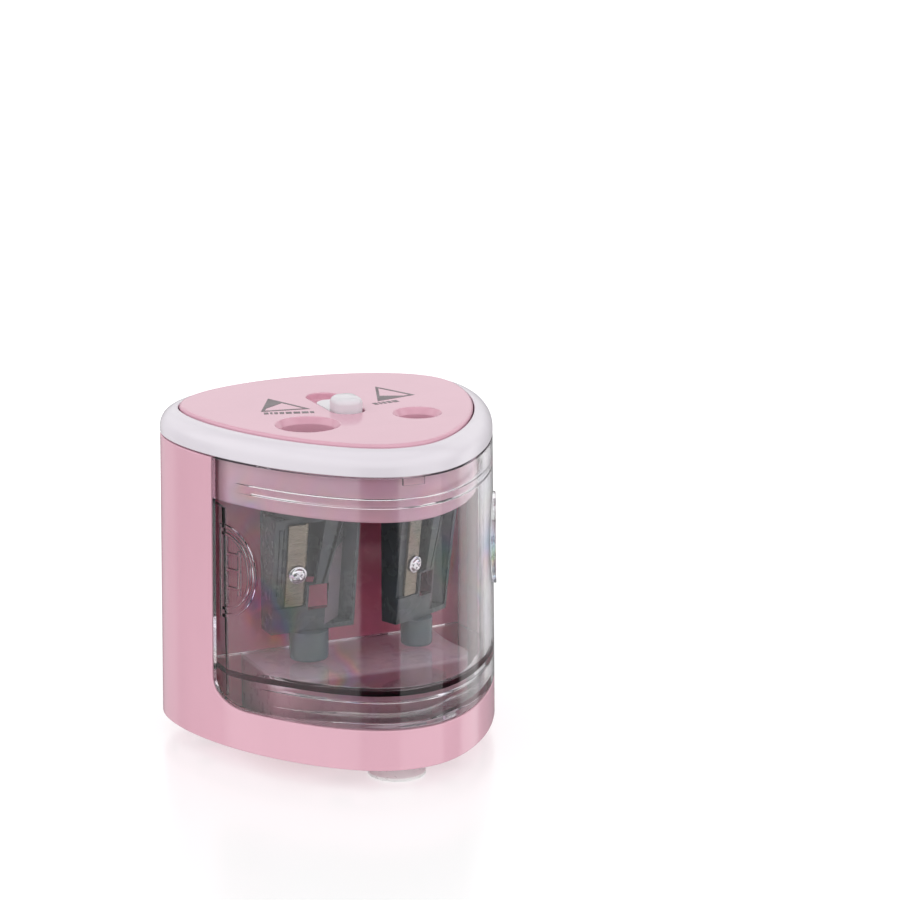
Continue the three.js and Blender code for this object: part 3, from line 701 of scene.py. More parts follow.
def build_ring():
    prof = [(-0.3, 71.97), (-0.12, 72.02), (-0.03, 72.13), (0, 72.3), (0, 73.3)]
    for i in range(1, 19):
        t = 88 * RAD * i / 18
        prof.append((-4.1 + 4.1 * math.cos(t), 73.4 + 4.15 * math.sin(t)))
    prof += [(-4.12, 77.53), (-4.2, 77.44), (-4.22, 77.3), (-4.22, 75.0), (-4.22, 73.1), (-2.2, 73.1), (-2.2, 71.97)]
    return piece("ring", sweep("ring", prof), M["white"], "housing", "white_plastic", ["top_ring"])


build_ring()

# ------------------------------------------------------------------ top plate
def build_plate():
    s = Solid()
    r = 0.7
    outer = [(-4.5, 75.4), (-4.5, 76.6)] + [(-4.5 - i, z) for i, z in fillet(Z_TOP, r, 6)]
    ids = [s.pts(lift(outline(o), z)) for o, z in outer]
    for a, b in zip(ids, ids[1:]):
        s.strip(a, b)
    top_holes, low_holes = [], []
    for x, rim, bore, tube, n in ((-HEAD_X, 7.25, 6.3, 7.9, 96), (HEAD_X, 5.45, 4.4, 6.0, 80)):
        prof = [(rim + 0.35, Z_TOP), (rim + 0.13, Z_TOP - 0.05), (rim, Z_TOP - 0.2), (bore + 0.12, Z_TOP - 1.35),
                (bore, Z_TOP - 1.6), (bore, 71.9), (bore + 0.3, 71.6), (tube - 0.3, 71.6), (tube, 71.9), (tube, 75.4)]
        lp = [s.pts(lift(circle(x, HEAD_Y, q, n), z)) for q, z in prof]
        for a, b in zip(lp, lp[1:]):
            s.strip(a, b)
        top_holes.append(lp[0])
        low_holes.append(lp[-1])
    dish = [(0.4, Z_TOP), (0.15, Z_TOP - 0.05), (0.03, Z_TOP - 0.17), (0, Z_TOP - 0.35), (0, 76.95), (-0.14, 76.62), (-0.48, 76.47)]
    lp = [s.pts(lift(stadium(3.9, -5.1, 17.3, o=o), z)) for o, z in dish]
    for a, b in zip(lp, lp[1:]):
        s.strip(a, b)
    top_holes.append(lp[0])
    slit = [(-1.35, -0.4), (1.35, -0.4), (1.35, 8.0), (-1.35, 8.0)]
    sa, sb = s.pts(lift(slit, 76.47)), s.pts(lift(slit, 75.4))
    s.strip(sa, sb)
    s.cap(lp[-1], sa)
    s.cap(ids[-1], *top_holes)
    s.cap(ids[0], *low_holes, sb)
    return piece("plate", s, M["pink_top"], "housing", "pink_plastic", ["top_plate"])


build_plate()

# generic size marks: a pointed outline with a solid corner, and a row of dashes
def build_marks():
    for name, tri, dash in (
        ("mark_large", [(-7.3, 3.2), (-12.4, 16.6), (-18.7, 5.1)], ((-18.6, 3.4), (-7.1, -0.2))),
        ("mark_small", [(14.9, 17.6), (9.6, 3.7), (20.0, 6.1)], ((7.7, 1.6), (14.6, 2.3))),
    ):
        s = Solid()
        z0, z1 = Z_TOP - 0.05, Z_TOP + 0.03
        c = [Vector(p) for p in tri]
        mid = sum(c, Vector((0, 0))) / 3

        def inset(k):
            return [mid + (p - mid) * k for p in c]

        a, b = inset(1.0), inset(0.78)
        lo_o = s.pts([(p.x, p.y, z0) for p in a])
        hi_o = s.pts([(p.x, p.y, z1) for p in a])
        lo_i = s.pts([(p.x, p.y, z0) for p in b])
        hi_i = s.pts([(p.x, p.y, z1) for p in b])
        s.strip(lo_o, hi_o)
        s.strip(hi_o, hi_i)
        s.strip(hi_i, lo_i)
        s.strip(lo_i, lo_o)
        # solid corner
        far = b[1]
        s.prism([tuple(far), tuple(far + (b[2] - far) * 0.8), tuple(far + (b[0] - far) * 0.34)], z0, z1)
        p, q = Vector(dash[0]), Vector(dash[1])
        d = (q - p)
        L = d.length
        u = d / L
        v = Vector((-u.y, u.x))
        t, k = 0.0, 0
        widths = (1.0, 0.55, 0.8, 1.0, 1.35, 1.5, 1.5, 0.9)
        while t < L - 0.6:
            w = widths[k % len(widths)]
            w = min(w, L - t)
            o = p + u * t
            h = 1.8
            s.prism([tuple(o - v * h * 0.5), tuple(o + u * w - v * h * 0.5), tuple(o + u * w + v * h * 0.5), tuple(o + v * h * 0.5)], z0, z1)
            t += w + 0.4
            k += 1
        piece(name, s, M["print"], "housing", "black_plastic", weighted=False, sharp=30)


build_marks()

# ------------------------------------------------------------------ slide button
def build_button():
    s = Solid()
    base = [(-0.25, 76.72), (0, 76.85), (0, 77.6), (-0.08, 77.78), (-0.25, 77.85)]
    s.chain([lift(stadium(3.3, -4.4, 12.1, 20, o), z) for o, z in base])
    s.box(-1.0, 1.0, 0, 2.6, 73.4, 76.9)
    ob = raw("slide_button_piece", s)
    k = Solid()
    rows = [(0.0, 77.6), (0.0, 79.9)]
    for i in range(1, 9):
        t = math.pi / 2 * i / 8
        rows.append((-1.75 * (1 - math.cos(t)), 79.9 + 1.55 * math.sin(t)))
    loops = []
    for o, z in rows:
        loops.append(lift(round_rect(-3.35, 3.35, -4.2, 3.4, 2.7, 10, o), z))
    # a gently crowned top
    cx, cy = 0.0, -0.4
    for f, z in ((0.75, 81.53), (0.45, 81.58), (0.15, 81.6)):
        loops.append([(cx + (x - cx) * f, cy + (y - cy) * f, z) for x, y, _ in loops[len(rows) - 1]])
    k.chain(loops)
    kb = raw("knob_tmp", k)
    boolean(ob, kb, "UNION")
    place(ob, M["knob"], "button", "white_plastic", ["slide_button"], bevel=0.12, seg=2, angle=50)


build_button()

# ------------------------------------------------------------------ shavings drawer
def arc_sweep(prof, a0, a1, n, name, taper=0):
    """Closed (offset, z) profile carried along the wall between two angles; taper blends its ends into the wall."""
    s = Solid()
    loops = []
    for i in range(n + 1):
        a = lerp(a0, a1, i / n)
        t = min(1.0, min(i, n - i) / taper) if taper else 1.0
        f = 0.06 + 0.94 * t * t * (3 - 2 * t)
        loops.append(s.pts([wall(a, z, -1.6 + (o + 1.6) * f) for o, z in prof]))
    for p, q in zip(loops, loops[1:]):
        s.strip(p, q)
    s.f.append(tuple(loops[0]))
    s.f.append(tuple(reversed(loops[-1])))
    return raw(name, s)


PAD_Y, PAD_Z = -8.3, 46.3


def pad_patch(r0, r1, o_out, o_in, r, n=28, name="pad"):
    """Half-ring of the finger pad on the right side, between two shares of its radius."""
    yc, zc, ry, rz = PAD_Y, PAD_Z, 8.9, 10.8
    quads = []
    m = 3 if r0 > 0 else 8
    P = []
    for j in range(m + 1):
        q = lerp(r0, r1, j / m)
        row = []
        for i in range(n + 1):
            t = -math.pi / 2 + math.pi * i / n
            y, z = yc - ry * q * math.cos(t), zc + rz * q * math.sin(t)
            row.append((angle_at(y, draft(z)), z))
        P.append(row)
    for j in range(m):
        for i in range(n):
            quads.append((P[j][i], P[j][i + 1], P[j + 1][i + 1], P[j + 1][i]))
    return sheet_solid(quads, o_out, o_in, r, 2, name)


def bar_patch(y0, y1, z0, z1, o_out, o_in, r, ny, nz, name="bar"):
    P = [[(angle_at(lerp(y0, y1, i / ny), draft(lerp(z0, z1, j / nz))), lerp(z0, z1, j / nz)) for i in range(ny + 1)]
         for j in range(nz + 1)]
    quads = [(P[j][i], P[j][i + 1], P[j + 1][i + 1], P[j + 1][i]) for j in range(nz) for i in range(ny)]
    return sheet_solid(quads, o_out, o_in, r, 2, name)


def mirrored(ob, name):
    me = ob.data.copy()
    me.name = name
    me.transform(Matrix.Diagonal((-1, 1, 1, 1)))
    me.flip_normals()
    new = bpy.data.objects.new(name, me)
    scene.collection.objects.link(new)
    return new


def build_drawer():
    top = Z_RING - GAP
    side = window_side(-GAP, 8, 34)
    foot = window_foot(-GAP, 8, 96)
    L = [(-a, z) for a, z in side]
    R = side
    B = foot
    aw = side[-1][0]
    a_b = foot[-1][0]
    T = [(a * aw / a_b, top) for a, _ in foot]
    body = sheet_solid(transfinite(B, T, L, R), 0.0, -2.0, 0.3, 3, "drawer")
    # finger pads: stepped rim, low field, and a grid of ridges
    parts = []
    for make in (
        lambda: pad_patch(0.93, 1.0, 0.62, -0.6, 0.08, name="p1"),
        lambda: pad_patch(0.78, 0.84, 0.52, -0.6, 0.08, name="p2"),
        lambda: bar_patch(PAD_Y, PAD_Y + 0.55, PAD_Z - 10.8, PAD_Z + 10.8, 0.6, -0.6, 0.08, 2, 20, "p3"),
        lambda: bar_patch(-9.85, -9.2, 38.6, 54.6, 0.6, -0.6, 0.08, 2, 16, "p4"),
        lambda: bar_patch(-13.35, -12.7, 41.2, 51.6, 0.6, -0.6, 0.08, 2, 12, "p5"),
        lambda: bar_patch(-13.0, -9.5, 50.2, 50.85, 0.55, -0.55, 0.08, 6, 2, "p6"),
        lambda: bar_patch(-13.0, -9.5, 46.5, 47.15, 0.55, -0.55, 0.08, 6, 2, "p7"),
        lambda: bar_patch(-13.0, -9.5, 42.3, 42.95, 0.55, -0.55, 0.08, 6, 2, "p8"),
    ):
        a = make()
        parts += [a, mirrored(a, a.name + "m")]
    # floor
    zf0, zf1 = 21.35, 22.8
    s = Solid()
    a1 = angle_x(32.0, -1.6 + draft(22))
    pts = [plan(lerp(-a1, a1, i / 96), -1.6 + draft(22)) for i in range(97)]
    pts = pts + [(32.0, 3.2), (-32.0, 3.2)]
    s.prism(pts, zf0, zf1)
    floor = raw("floor_tmp", s)
    finish = floor.modifiers.new("bev", "BEVEL")
    finish.width = 0.06 * S
    finish.segments = 2
    finish.limit_method = "ANGLE"
    bake(floor)
    parts.append(floor)
    # band under the floor, at the wall
    ab = angle_at(WIN_Y - 6, 0)
    parts.append(arc_sweep([(-1.6, 20.0), (-3.3, 20.0), (-3.7, 20.4), (-3.7, 21.9), (-2.9, 22.9), (-2.3, 23.6), (-1.6, 24.0)],
                           -ab, ab, 90, "band", 8))
    # rib below the gear tray's edge
    ar = angle_at(WIN_Y - 3, 0)
    parts.append(arc_sweep([(-1.6, 64.5), (-2.5, 64.5), (-2.95, 64.9), (-2.95, 66.3), (-2.5, 66.7), (-1.6, 66.7)], -ar, ar, 90, "rib", 4))
    # catch
    s = Solid()
    s.box(-4.2, 4.2, -38.8, -37.05, 64.75, 66.45)
    parts.append(raw("rib_tab", s))
    s = Solid()
    s.box(-2.45, 2.45, -38.9, -37.1, 69.6, 71.5)
    parts.append(raw("catch_tab", s))
    # side walls
    for k in (-1, 1):
        s = Solid()
        p = [(31.4, -7.3), (32.0, -7.3), (32.0, 2.4), (31.4, 2.4)]
        s.prism([(k * x, y) for x, y in p], 16.6, 60.4)
        parts.append(raw("side_wall", s))
    # bottom rim, cleared of the cell bay
    at = angle_at(WIN_Y - 12, 0)
    rim = arc_sweep([(-1.6, 14.55 + 0.3), (-1.9, 14.55), (-5.8, 14.55), (-6.0, 14.75), (-6.0, 16.4), (-5.8, 16.6), (-1.6, 16.6)], -at, at, 90, "rim", 16)
    s = Solid()
    s.prism(round_rect(-24.45, 24.45, -20.15, 60, 6.4, 8), 5, 21.3)
    boolean(rim, raw("bay_cut", s), "DIFFERENCE")
    parts.append(rim)
    for p in parts:
        boolean(body, p, "UNION")
    s = Solid()
    s.prism(round_rect(-24.45, 24.45, -20.15, 60, 6.4, 8), 5, 21.3)
    boolean(body, raw("bay_cut2", s), "DIFFERENCE")
    clean(body.data)
    place(body, M["smoke"], "drawer", "smoke_plastic", ["shavings_drawer"], sharp=38)
    return body


build_drawer()

# ------------------------------------------------------------------ gear tray (its wall is the light band behind the drawer)
def build_deck():
    s = Solid()
    prof = [(-4.45, 62.9), (-4.45, 71.45), (-4.35, 71.55), (-3.4, 71.55), (-3.3, 71.45), (-3.3, 61.7)]
    for i in range(1, 7):
        t = math.pi / 2 * i / 6
        prof.append((-3.3 - 0.8 * (1 - math.cos(t)), 61.7 - 0.8 * math.sin(t)))
    ids = [s.pts(lift(outline(o), z)) for o, z in prof]
    for a, b in zip(ids, ids[1:]):
        s.strip(a, b)
    tops, lows = [], []
    for x, y, r in ((-HEAD_X, HEAD_Y, 10.35), (HEAD_X, HEAD_Y, 8.6), (0, 14.16, 3.6), (0, 1.36, 1.35), (8, 14.16, 1.6), (-8, 14.16, 1.6)):
        n = 72 if r > 5 else 32
        lp = [s.pts(lift(circle(x, y, q, n), z)) for q, z in ((r, 62.9), (r, 61.1), (r + 0.2, 60.9))]
        for a, b in zip(lp, lp[1:]):
            s.strip(a, b)
        tops.append(lp[0])
        lows.append(lp[-1])
    s.cap(ids[0], *tops)
    s.cap(ids[-1], *lows)
    ob = raw("deck", s)
    e = Solid()
    for x, y in ((29.6, 13.5), (-29.6, 13.5), (0, 32.4), (0, -31.0)):
        e.bar(x, y, 62.7, 74.5, 2.1, n=32)
    for k in (-1, 1):
        e.box(min(k * 26.2, k * 28.6), max(k * 26.2, k * 28.6), -4.9, 0.8, 62.7, 67.0)
        e.bar(k * 22.5, 3.0, 62.7, 68.0, 1.6, n=28)
    boolean(ob, raw("deck_posts", e), "UNION")
    place(ob, M["pink_deck"], "housing", "pink_inner", ["gear_deck"], bevel=0.1, seg=2, angle=55)


build_deck()

# ------------------------------------------------------------------ cutter heads
LARGE = dict(y0=2.3, y1=6.9, z0=31.0, back=6.0, half=9.9, journal=8.6, neck=7.6, bore=6.3, deep=3.6,
             u0=-7.0, u1=-2.1, w0=6.6, w1=26.6, su=-4.5, sw=14.5, sr=2.1,
             win=(-1.46, 3.41, 36.1, 42.2), flare=5.4, stub=(4.45, 23.85))
SMALL = dict(y0=2.0, y1=5.3, z0=30.6, back=5.0, half=9.2, journal=6.9, neck=5.9, bore=4.4, deep=2.8,
             u0=-7.3, u1=-2.6, w0=6.6, w1=26.6, su=-4.9, sw=14.0, sr=2.0,
             win=(-2.0, 3.2, 35.9, 41.6), flare=6.0, stub=(3.9, 23.85))


def build_head(tag, p, k, turn):
    tilt = math.atan((p["y1"] - p["y0"]) / (58.5 - p["z0"]))
    at = Matrix.Translation((k * HEAD_X, HEAD_Y, 0)) @ Matrix.Rotation(turn * RAD, 4, "Z")
    # face frame: u across, -y outwards, w up the face
    ff = at @ Matrix.Translation((0, -p["y0"], p["z0"])) @ Matrix.Rotation(tilt, 4, "X")

    def fbox(s, u0, u1, w0, w1, n0, n1):
        s.box(u0, u1, -n1, -n0, w0, w1, ff)

    def on_face(prof, u, w):
        # turned about the outward normal
        return ff @ Matrix.Translation((u, 0, w)) @ Matrix.Rotation(math.pi / 2, 4, "X")

    half, back = p["half"], p["back"]
    s = Solid()
    c = 2.4
    lo = [(-half, -p["y0"]), (half, -p["y0"]), (half, back - c), (half - c, back), (-half + c, back), (-half, back - c)]
    hi = [(-half, -p["y1"]), (half, -p["y1"]), (half, back - c), (half - c, back), (-half + c, back), (-half, back - c)]
    lo2 = [(x, min(y, back - 1.6) if y > 0 else y) for x, y in lo]
    loops = [[tuple(at @ Vector((x, y, p["z0"]))) for x, y in lo2],
             [tuple(at @ Vector((x, lerp(a[1], a[1], 0), p["z0"] + 2 * 1.0))) for (x, _), a in zip(lo, lo)],
             [tuple(at @ Vector((x, y, 58.5))) for x, y in hi]]
    # the second ring sits on the sloping front
    y_at = lambda z: -lerp(p["y0"], p["y1"], (z - p["z0"]) / (58.5 - p["z0"]))
    ring2 = [(-half, y_at(p["z0"] + 2)), (half, y_at(p["z0"] + 2)), (half, back - c), (half - c, back), (-half + c, back), (-half, back - c)]
    loops[1] = [tuple(at @ Vector((x, y, p["z0"] + 2))) for x, y in ring2]
    s.chain(loops)
    head = raw("head_" + tag, s)

    cut = Solid()
    # blade seat
    fbox(cut, -half - 1, p["u1"] + 0.12, p["w0"] - 0.4, 40, -0.8, 6)
    head = boolean(head, raw("c", cut), "DIFFERENCE")
    cut = Solid()
    fbox(cut, p["u1"] - 0.4, p["u1"] + 3.4, 11.5, 26.9, -p["deep"], 6)
    head = boolean(head, raw("c", cut), "DIFFERENCE")
    # sloping flank to the right of the slot
    cut = Solid()
    m = ff @ Matrix(((1, 0, 0, 0), (0, 0, -1, 0), (0, 1, 0, 0), (0, 0, 0, 1)))
    u1 = p["u1"]
    cut.prism([(u1 + 3.2, 11.5), (u1 + 4.2, 11.5), (u1 + 8.0, 27.4), (u1 + 3.2, 27.4)], -2.2, 6, m)
    head = boolean(head, raw("c", cut), "DIFFERENCE")
    # pocket on the right: two leaning faces that meet in a valley, inside a thin rim
    cut = Solid()
    v = half - 2.7
    zz = [(u1 + 4.4, 0.25), (v, -2.9), (half - 0.75, -0.45), (half - 0.75, 4.0), (u1 + 4.4, 4.0)]
    lo_w, hi_w = 1.15, 27.0
    rings = []
    for w in (lo_w, 8.0, 14.0, 20.0, hi_w):
        shift = max(0.0, w - 11.5) * 0.235
        rings.append([tuple(ff @ Vector((u + (shift if i in (0, 4) else 0.0) * (1 if u + shift < v - 0.3 else 0.0), -n, w)))
                      for i, (u, n) in enumerate(zz)])
    cut.chain(rings)
    head = boolean(head, raw("c", cut), "DIFFERENCE")
    # square window at the point
    cut = Solid()
    # it opens out towards the back of the cone
    x0, x1, z0, z1 = p["win"]
    far = min(x1 + p["flare"], half - 0.9)
    cut.chain([[tuple(at @ Vector(c)) for c in lp] for lp in (
        [(x0, -12, z0), (x1, -12, z0), (x1, -12, z1), (x0, -12, z1)],
        [(x0, -2.6, z0), (x1, -2.6, z0), (x1, -2.6, z1), (x0, -2.6, z1)],
        [(x0, 9, z0 - 3.0), (far, 9, z0 - 3.0), (far, 9, z1), (x0, 9, z1)])])
    head = boolean(head, raw("c", cut), "DIFFERENCE")
    # two upright grooves on the blank strip left of the blade
    cut = Solid()
    for g in (0.9, 1.9):
        fbox(cut, -half + g, -half + g + 0.35, 9.0, 25.5, -1.25, 3)
    if p["u0"] + half > 2.6:
        head = boolean(head, raw("c", cut), "DIFFERENCE")
    # raised rib that runs down from the right of the slot to the point
    add = Solid()
    fr = u1 + 2.1
    add.prism([(fr, 11.6), (fr + 1.45, 11.6), (fr + 4.75, 27.2), (fr + 1.5, 27.2)], -3.2, 0.22, m)
    head = boolean(head, raw("a", add), "UNION")
    # journal, neck and bore
    add = Solid()
    add.bar(0, 0, 58.2, 63.0, p["journal"], n=64, m=at)
    head = boolean(head, raw("a", add), "UNION")
    add = Solid()
    add.bar(0, 0, 62.8, 67.2, p["neck"], n=64, m=at)
    head = boolean(head, raw("a", add), "UNION")
    cut = Solid()
    cut.turned([(0, 33.5), (0.7, 33.5), (p["bore"], 57.0), (p["bore"], 70), (0, 70)], n=64, m=at)
    head = boolean(head, raw("c", cut), "DIFFERENCE")
    cut = Solid()
    cut.turned([(0, -2), (1.35, -2), (1.35, 4.6), (0, 4.6)], n=24, m=ff @ Matrix.Translation((p["su"], 0, p["sw"])) @ Matrix.Rotation(-math.pi / 2, 4, "X"))
    head = boolean(head, raw("c", cut), "DIFFERENCE")
    clean(head.data)
    place(head, M["head"], "head_" + tag, "head_plastic", ["cutter_head_" + tag], bevel=0.14, seg=2, angle=28, sharp=40)
    head.data.materials.append(M["head_light"])
    # painted light: front faces that lean towards the head's right side take the lighter head plastic, as if lit
    back_rot = ff.to_3x3().inverted()
    for f in head.data.polygons:
        q = back_rot @ f.normal
        if q.x > 0.22 and -q.y > 0.6 and f.area > 0.4e-6:
            f.material_index = 1

    # blade: ground bevel along the cutting edge, rounded clearance at the lower end
    s = Solid()
    u0, u1, w0, w1 = p["u0"], p["u1"], p["w0"], p["w1"]
    sect = [(u0, -0.7), (u1 - 0.05, -0.7), (u1 + 0.02, -0.66), (u1 - 1.15, 0.12), (u0 + 0.08, 0.12), (u0, 0.04)]
    ws = [w0, w0 + 0.25] + [lerp(w0 + 0.25, w1 - 0.25, i / 10) for i in range(1, 10)] + [w1 - 0.25, w1]
    s.chain([[tuple(ff @ Vector((u, -n, w))) for u, n in sect] for w in ws])
    blade = raw("blade_" + tag + "_piece", s)
    cut = Solid()
    cut.turned([(0, -2), (1.45, -2), (1.45, 2), (0, 2)], n=32, m=ff @ Matrix.Translation((p["su"], 0, p["sw"])) @ Matrix.Rotation(-math.pi / 2, 4, "X"))
    blade = boolean(blade, raw("c", cut), "DIFFERENCE")
    place(blade, M["blade"], "head_" + tag, "blade_steel", ["blade_" + tag], bevel=0.06, seg=2, angle=35)

    # pan-head screw with a cross recess and a washer rim
    sm = ff @ Matrix.Translation((p["su"], 0, p["sw"])) @ Matrix.Rotation(math.pi / 2, 4, "X")  # +z outwards
    R = p["sr"]
    s = Solid()
    prof = [(0, -4.0), (0.9, -4.0), (1.05, -3.8), (1.05, 0.35), (R - 0.1, 0.35), (R, 0.45), (R, 0.55), (R - 0.12, 0.66), (R - 0.42, 0.70),
            (R - 0.50, 0.78)]
    for i in range(1, 9):
        t = math.pi / 2 * i / 8
        prof.append(((R - 0.5) * math.cos(t), 0.78 + 0.72 * math.sin(t)))
    s.turned(prof, n=56, m=sm)
    screw = raw("screw_" + tag + "_piece", s)
    for q in (0, 1):
        cut = Solid()
        mm = sm @ Matrix.Rotation((35 + 90 * q) * RAD, 4, "Z")
        cut.chain([[tuple(mm @ Vector(c)) for c in lp] for lp in (
            [(-0.55, -0.16, 0.75), (0.55, -0.16, 0.75), (0.55, 0.16, 0.75), (-0.55, 0.16, 0.75)],
            [(-1.15, -0.24, 1.9), (1.15, -0.24, 1.9), (1.15, 0.24, 1.9), (-1.15, 0.24, 1.9)])])
        screw = boolean(screw, raw("c", cut), "DIFFERENCE")
    place(screw, M["screw"], "head_" + tag, "screw_steel", ["blade_screw_" + tag], bevel=0.03, seg=1, angle=35)

    # stub below the head
    s = Solid()
    r, zb = p["stub"]
    zt = p["z0"] - 0.3
    prof = [(0, zb), (r - 0.75, zb), (r - 0.4, zb + 0.1), (r - 0.15, zb + 0.35), (r - 0.08, zb + 0.75), (r, zt - 0.5), (r, zt), (0, zt)]
    s.turned(prof, n=64, m=at)
    piece("stub_" + tag, s, M["stub"], "head_" + tag, "head_plastic", ["tip_stub_" + tag])


M["stub"] = plastic("stub_plastic", (0.070, 0.098, 0.110), rough=(0.10, 0.16), vary=0.06, grain=0.03)
build_head("large", LARGE, -1, 0)
build_head("small", SMALL, 1, 22.5)

# ------------------------------------------------------------------ feet
for name, x, y, r in (("foot_front", 0, -28.4, 6.6), ("foot_rear_left", -27.4, 23.0, 4.9), ("foot_rear_right", 27.4, 23.0, 4.9)):
    s = Solid()
    prof = [(0, 0.35), (r * 0.55, 0.3), (r * 0.8, 0.05), (r - 0.25, 0.0), (r - 0.05, 0.1), (r, 0.35), (r - 0.1, 0.75),
            (r * 0.80, 1.35), (r * 0.60, 2.0), (r * 0.52, 2.6), (r * 0.54, 3.1), (r * 0.62, 3.5), (r * 0.66, 3.8), (r * 0.66, 4.5), (0, 4.5)]
    s.turned(prof, x, y, 64)
    piece(name + "_piece", s, M["foot"], "housing", "foot_rubber", [name])

# ------------------------------------------------------------------ CAD nodes that stay: softened edges and their finish
STAY = {
    "base_tray": ("tray_painted_light_and_shade", 0.5), "battery_door": ("pink_in", 0.35), "chamber_wall": ("chamber", 0.3),
    "battery_cell_1": ("cell", 0.0), "battery_cell_2": ("cell", 0.0), "battery_cell_3": ("cell", 0.0),
    "contact_front_bridge": ("contact", 0.05), "contact_front_single": ("contact", 0.05),
    "contact_rear_single": ("contact", 0.05), "contact_rear_bridge": ("contact", 0.05),
    "base_screw_1": ("base_screw", 0.08), "base_screw_2": ("base_screw", 0.08), "base_screw_3": ("base_screw", 0.08), "base_screw_4": ("base_screw", 0.08),
    "bearing_large": ("brass", 0.12), "bearing_small": ("brass", 0.12),
    "slide_switch": ("black", 0.25),
    "head_gear_large": ("gear", 0.1), "head_gear_small": ("gear", 0.1), "idler_gear": ("gear", 0.1), "idler_axle": ("steel", 0.08),
    "motor_can": ("can", 0.4), "motor_endbell": ("endbell", 0.3), "motor_shaft": ("steel", 0.1), "motor_pinion": ("brass", 0.08),
    "motor_screw_left": ("screw", 0.1), "motor_screw_right": ("screw", 0.1),
    "start_lever_large": ("gear", 0.15), "start_lever_small": ("gear", 0.15), "lever_pin_large": ("steel", 0.06), "lever_pin_small": ("steel", 0.06),
    "start_switch_large": ("black", 0.2), "start_switch_small": ("black", 0.2),
}
M["chamber"] = plastic("chamber_plastic", (0.84, 0.205, 0.325), rough=(0.2, 0.3), vary=0.04, grain=0.08)

smooth = bpy.data.node_groups.new("smooth_faces", "GeometryNodeTree")
smooth.interface.new_socket("Geometry", in_out="INPUT", socket_type="NodeSocketGeometry")
smooth.interface.new_socket("Geometry", in_out="OUTPUT", socket_type="NodeSocketGeometry")
gi = smooth.nodes.new("NodeGroupInput")
go = smooth.nodes.new("NodeGroupOutput")
ss = smooth.nodes.new("GeometryNodeSetShadeSmooth")
smooth.links.new(gi.outputs[0], ss.inputs[0])
smooth.links.new(ss.outputs[0], go.inputs[0])

for name, (m, w) in STAY.items():
    ob = nodes[name]
    ob.data.materials.clear()
    ob.data.materials.append(M[m])
    md = ob.modifiers.new("weld", "WELD")
    md.merge_threshold = 2e-6
    md = ob.modifiers.new("smooth", "NODES")
    md.node_group = smooth
    if w:
        md = ob.modifiers.new("bev", "BEVEL")
        md.width = w * S
        md.segments = 2
        md.limit_method = "ANGLE"
        md.angle_limit = 34 * RAD
        md.use_clamp_overlap = True
    md = ob.modifiers.new("wn", "WEIGHTED_NORMAL")
    md.mode = "FACE_AREA"
    md.weight = 60

# ------------------------------------------------------------------ floor, light, camera
def build_floor():
    me = bpy.data.meshes.new("studio_floor")
    # a table whose front edge lies just below the picture, square to the camera
    r, front = 6.0, 0.113
    c, sn = math.cos(-24.535 * RAD), math.sin(-24.535 * RAD)
    me.from_pydata([(c * u - sn * v, sn * u + c * v, 0) for u, v in ((-r, -front), (r, -front), (r, r), (-r, r))],
                   [], [(0, 1, 2, 3)])
    ob = bpy.data.objects.new("studio_floor", me)
    scene.collection.objects.link(ob)
    m, nt, b = new_material("studio_floor")
    b.inputs["Base Color"].default_value = (0.50, 0.50, 0.50, 1)
    b.inputs["Roughness"].default_value = 0.20
    b.inputs["IOR"].default_value = 1.45
    # painted light and shade: the floor glows by itself, less within a few centimetres of the object and more further
    # out, which paints a soft darkening round the object
    tc = node(nt, "ShaderNodeTexCoord")
    ln = node(nt, "ShaderNodeVectorMath", operation="LENGTH")
    nt.links.new(tc.outputs["Object"], ln.inputs[0])
    painted_floor_glow = node(nt, "ShaderNodeMapRange", interpolation_type="SMOOTHSTEP")
    painted_floor_glow.inputs["From Min"].default_value = 0.05
    painted_floor_glow.inputs["From Max"].default_value = 0.30
    painted_floor_glow.inputs["To Min"].default_value = 0.49
    painted_floor_glow.inputs["To Max"].default_value = 0.72
    nt.links.new(ln.outputs["Value"], painted_floor_glow.inputs["Value"])
    b.inputs["Emission Color"].default_value = (1, 1, 1, 1)
    nt.links.new(painted_floor_glow.outputs["Result"], b.inputs["Emission Strength"])
    me.materials.append(m)
    ob.visible_glossy = False


build_floor()


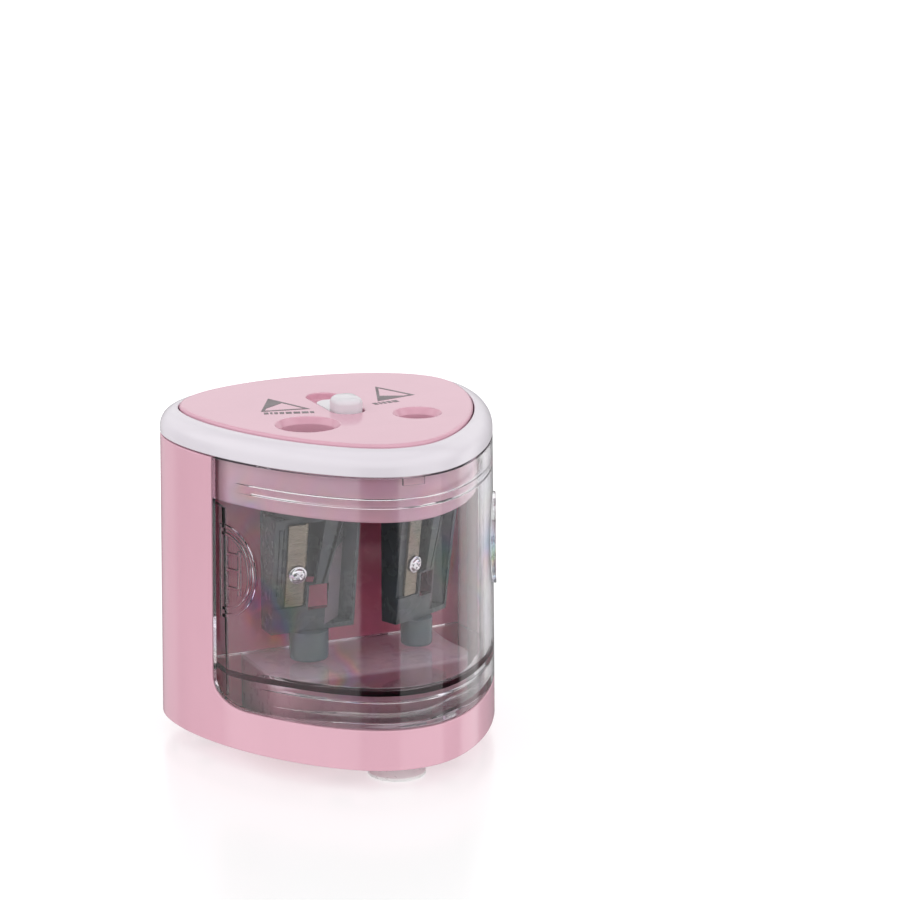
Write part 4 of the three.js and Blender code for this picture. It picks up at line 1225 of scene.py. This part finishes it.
def build_world():
    w = bpy.data.worlds.new("studio")
    scene.world = w
    w.use_nodes = True
    nt = w.node_tree
    nt.nodes.clear()
    tc = node(nt, "ShaderNodeTexCoord")
    sep = node(nt, "ShaderNodeSeparateXYZ")
    nt.links.new(tc.outputs["Generated"], sep.inputs[0])
    x, y, z = sep.outputs
    az = math_node(nt, "MULTIPLY", math_node(nt, "ARCTAN2", x, math_node(nt, "MULTIPLY", y, -1.0)), 180 / math.pi)
    el = math_node(nt, "MULTIPLY", math_node(nt, "ARCSINE", z), 180 / math.pi)

    def edge(src, at, soft, rising=True):
        n = node(nt, "ShaderNodeMapRange", interpolation_type="SMOOTHSTEP")
        n.inputs["From Min"].default_value = at - soft
        n.inputs["From Max"].default_value = at + soft
        n.inputs["To Min"].default_value = 0.0 if rising else 1.0
        n.inputs["To Max"].default_value = 1.0 if rising else 0.0
        nt.links.new(src, n.inputs["Value"])
        return n.outputs["Result"]

    def zone(lo, hi, soft, el_hi, el_soft, el_lo=None):
        a = math_node(nt, "MULTIPLY", edge(az, lo, soft), edge(az, hi, soft, False))
        a = math_node(nt, "MULTIPLY", a, edge(el, el_hi, el_soft, False))
        return a if el_lo is None else math_node(nt, "MULTIPLY", a, edge(el, el_lo, el_soft))

    level = None
    terms = [
        (zone(-112, -46, 2.0, 8, 5), 1.05),          # low reflector, left of the camera
        (zone(0.5, 61, 1.6, 8, 5), 1.05),            # low reflector, right of the camera
        (zone(-140, 90, 12, 50, 7, 10), 1.45),       # wide diffuser round the front
        (zone(92, 116, 4, 3, 4), 1.1),              # pale backdrop behind, in steps
        (zone(116, 181, 5, 3, 4), 0.18),
        (zone(-181, -146, 4, 3, 4), 0.48),
        (zone(104, 181, 6, 40, 9, 6), 0.95),
        (zone(-181, -146, 4, 40, 9, 6), 0.9),
        (edge(el, 58, 10), 0.88),                    # overhead diffuser
        (edge(el, 0, 3), 0.10),                      # pale room above the table
    ]
    base = 0.05
    for t, k in terms:
        v = math_node(nt, "MULTIPLY", t, k)
        level = v if level is None else math_node(nt, "ADD", level, v)
    level = math_node(nt, "ADD", level, base)
    # the room itself looks plain white past the table's edge
    lp = node(nt, "ShaderNodeLightPath")
    mx = node(nt, "ShaderNodeMix", data_type="FLOAT")
    nt.links.new(lp.outputs["Is Camera Ray"], mx.inputs[0])
    nt.links.new(level, mx.inputs[2])
    mx.inputs[3].default_value = 1.0
    level = mx.outputs[0]
    bg = node(nt, "ShaderNodeBackground")
    bg.inputs["Color"].default_value = (1.0, 0.995, 1.0, 1)
    nt.links.new(level, bg.inputs["Strength"])
    out = node(nt, "ShaderNodeOutputWorld")
    nt.links.new(bg.outputs[0], out.inputs[0])
    w.cycles.sampling_method = "MANUAL"
    w.cycles.sample_map_resolution = 1024


build_world()

cam_data = bpy.data.cameras.new("camera")
cam = bpy.data.objects.new("camera", cam_data)
scene.collection.objects.link(cam)
cam.location = (-0.29101, -0.694835, 0.25961)
cam.rotation_euler = (75.764 * RAD, 0, -24.535 * RAD)
cam_data.lens = 136
cam_data.sensor_width = 36
cam_data.clip_start = 0.01
cam_data.clip_end = 50
scene.camera = cam

scene.view_settings.view_transform = "Standard"
scene.view_settings.look = "None"
scene.view_settings.exposure = 0.0
scene.view_settings.gamma = 1.0
scene.cycles.use_denoising = True
scene.cycles.max_bounces = 16
scene.cycles.diffuse_bounces = 5
scene.cycles.glossy_bounces = 6
scene.cycles.transmission_bounces = 14
scene.cycles.transparent_max_bounces = 16
scene.cycles.caustics_reflective = False
scene.cycles.caustics_refractive = True
scene.cycles.blur_glossy = 0.6
scene.cycles.sample_clamp_indirect = 6.0
scene.cycles.use_adaptive_sampling = False
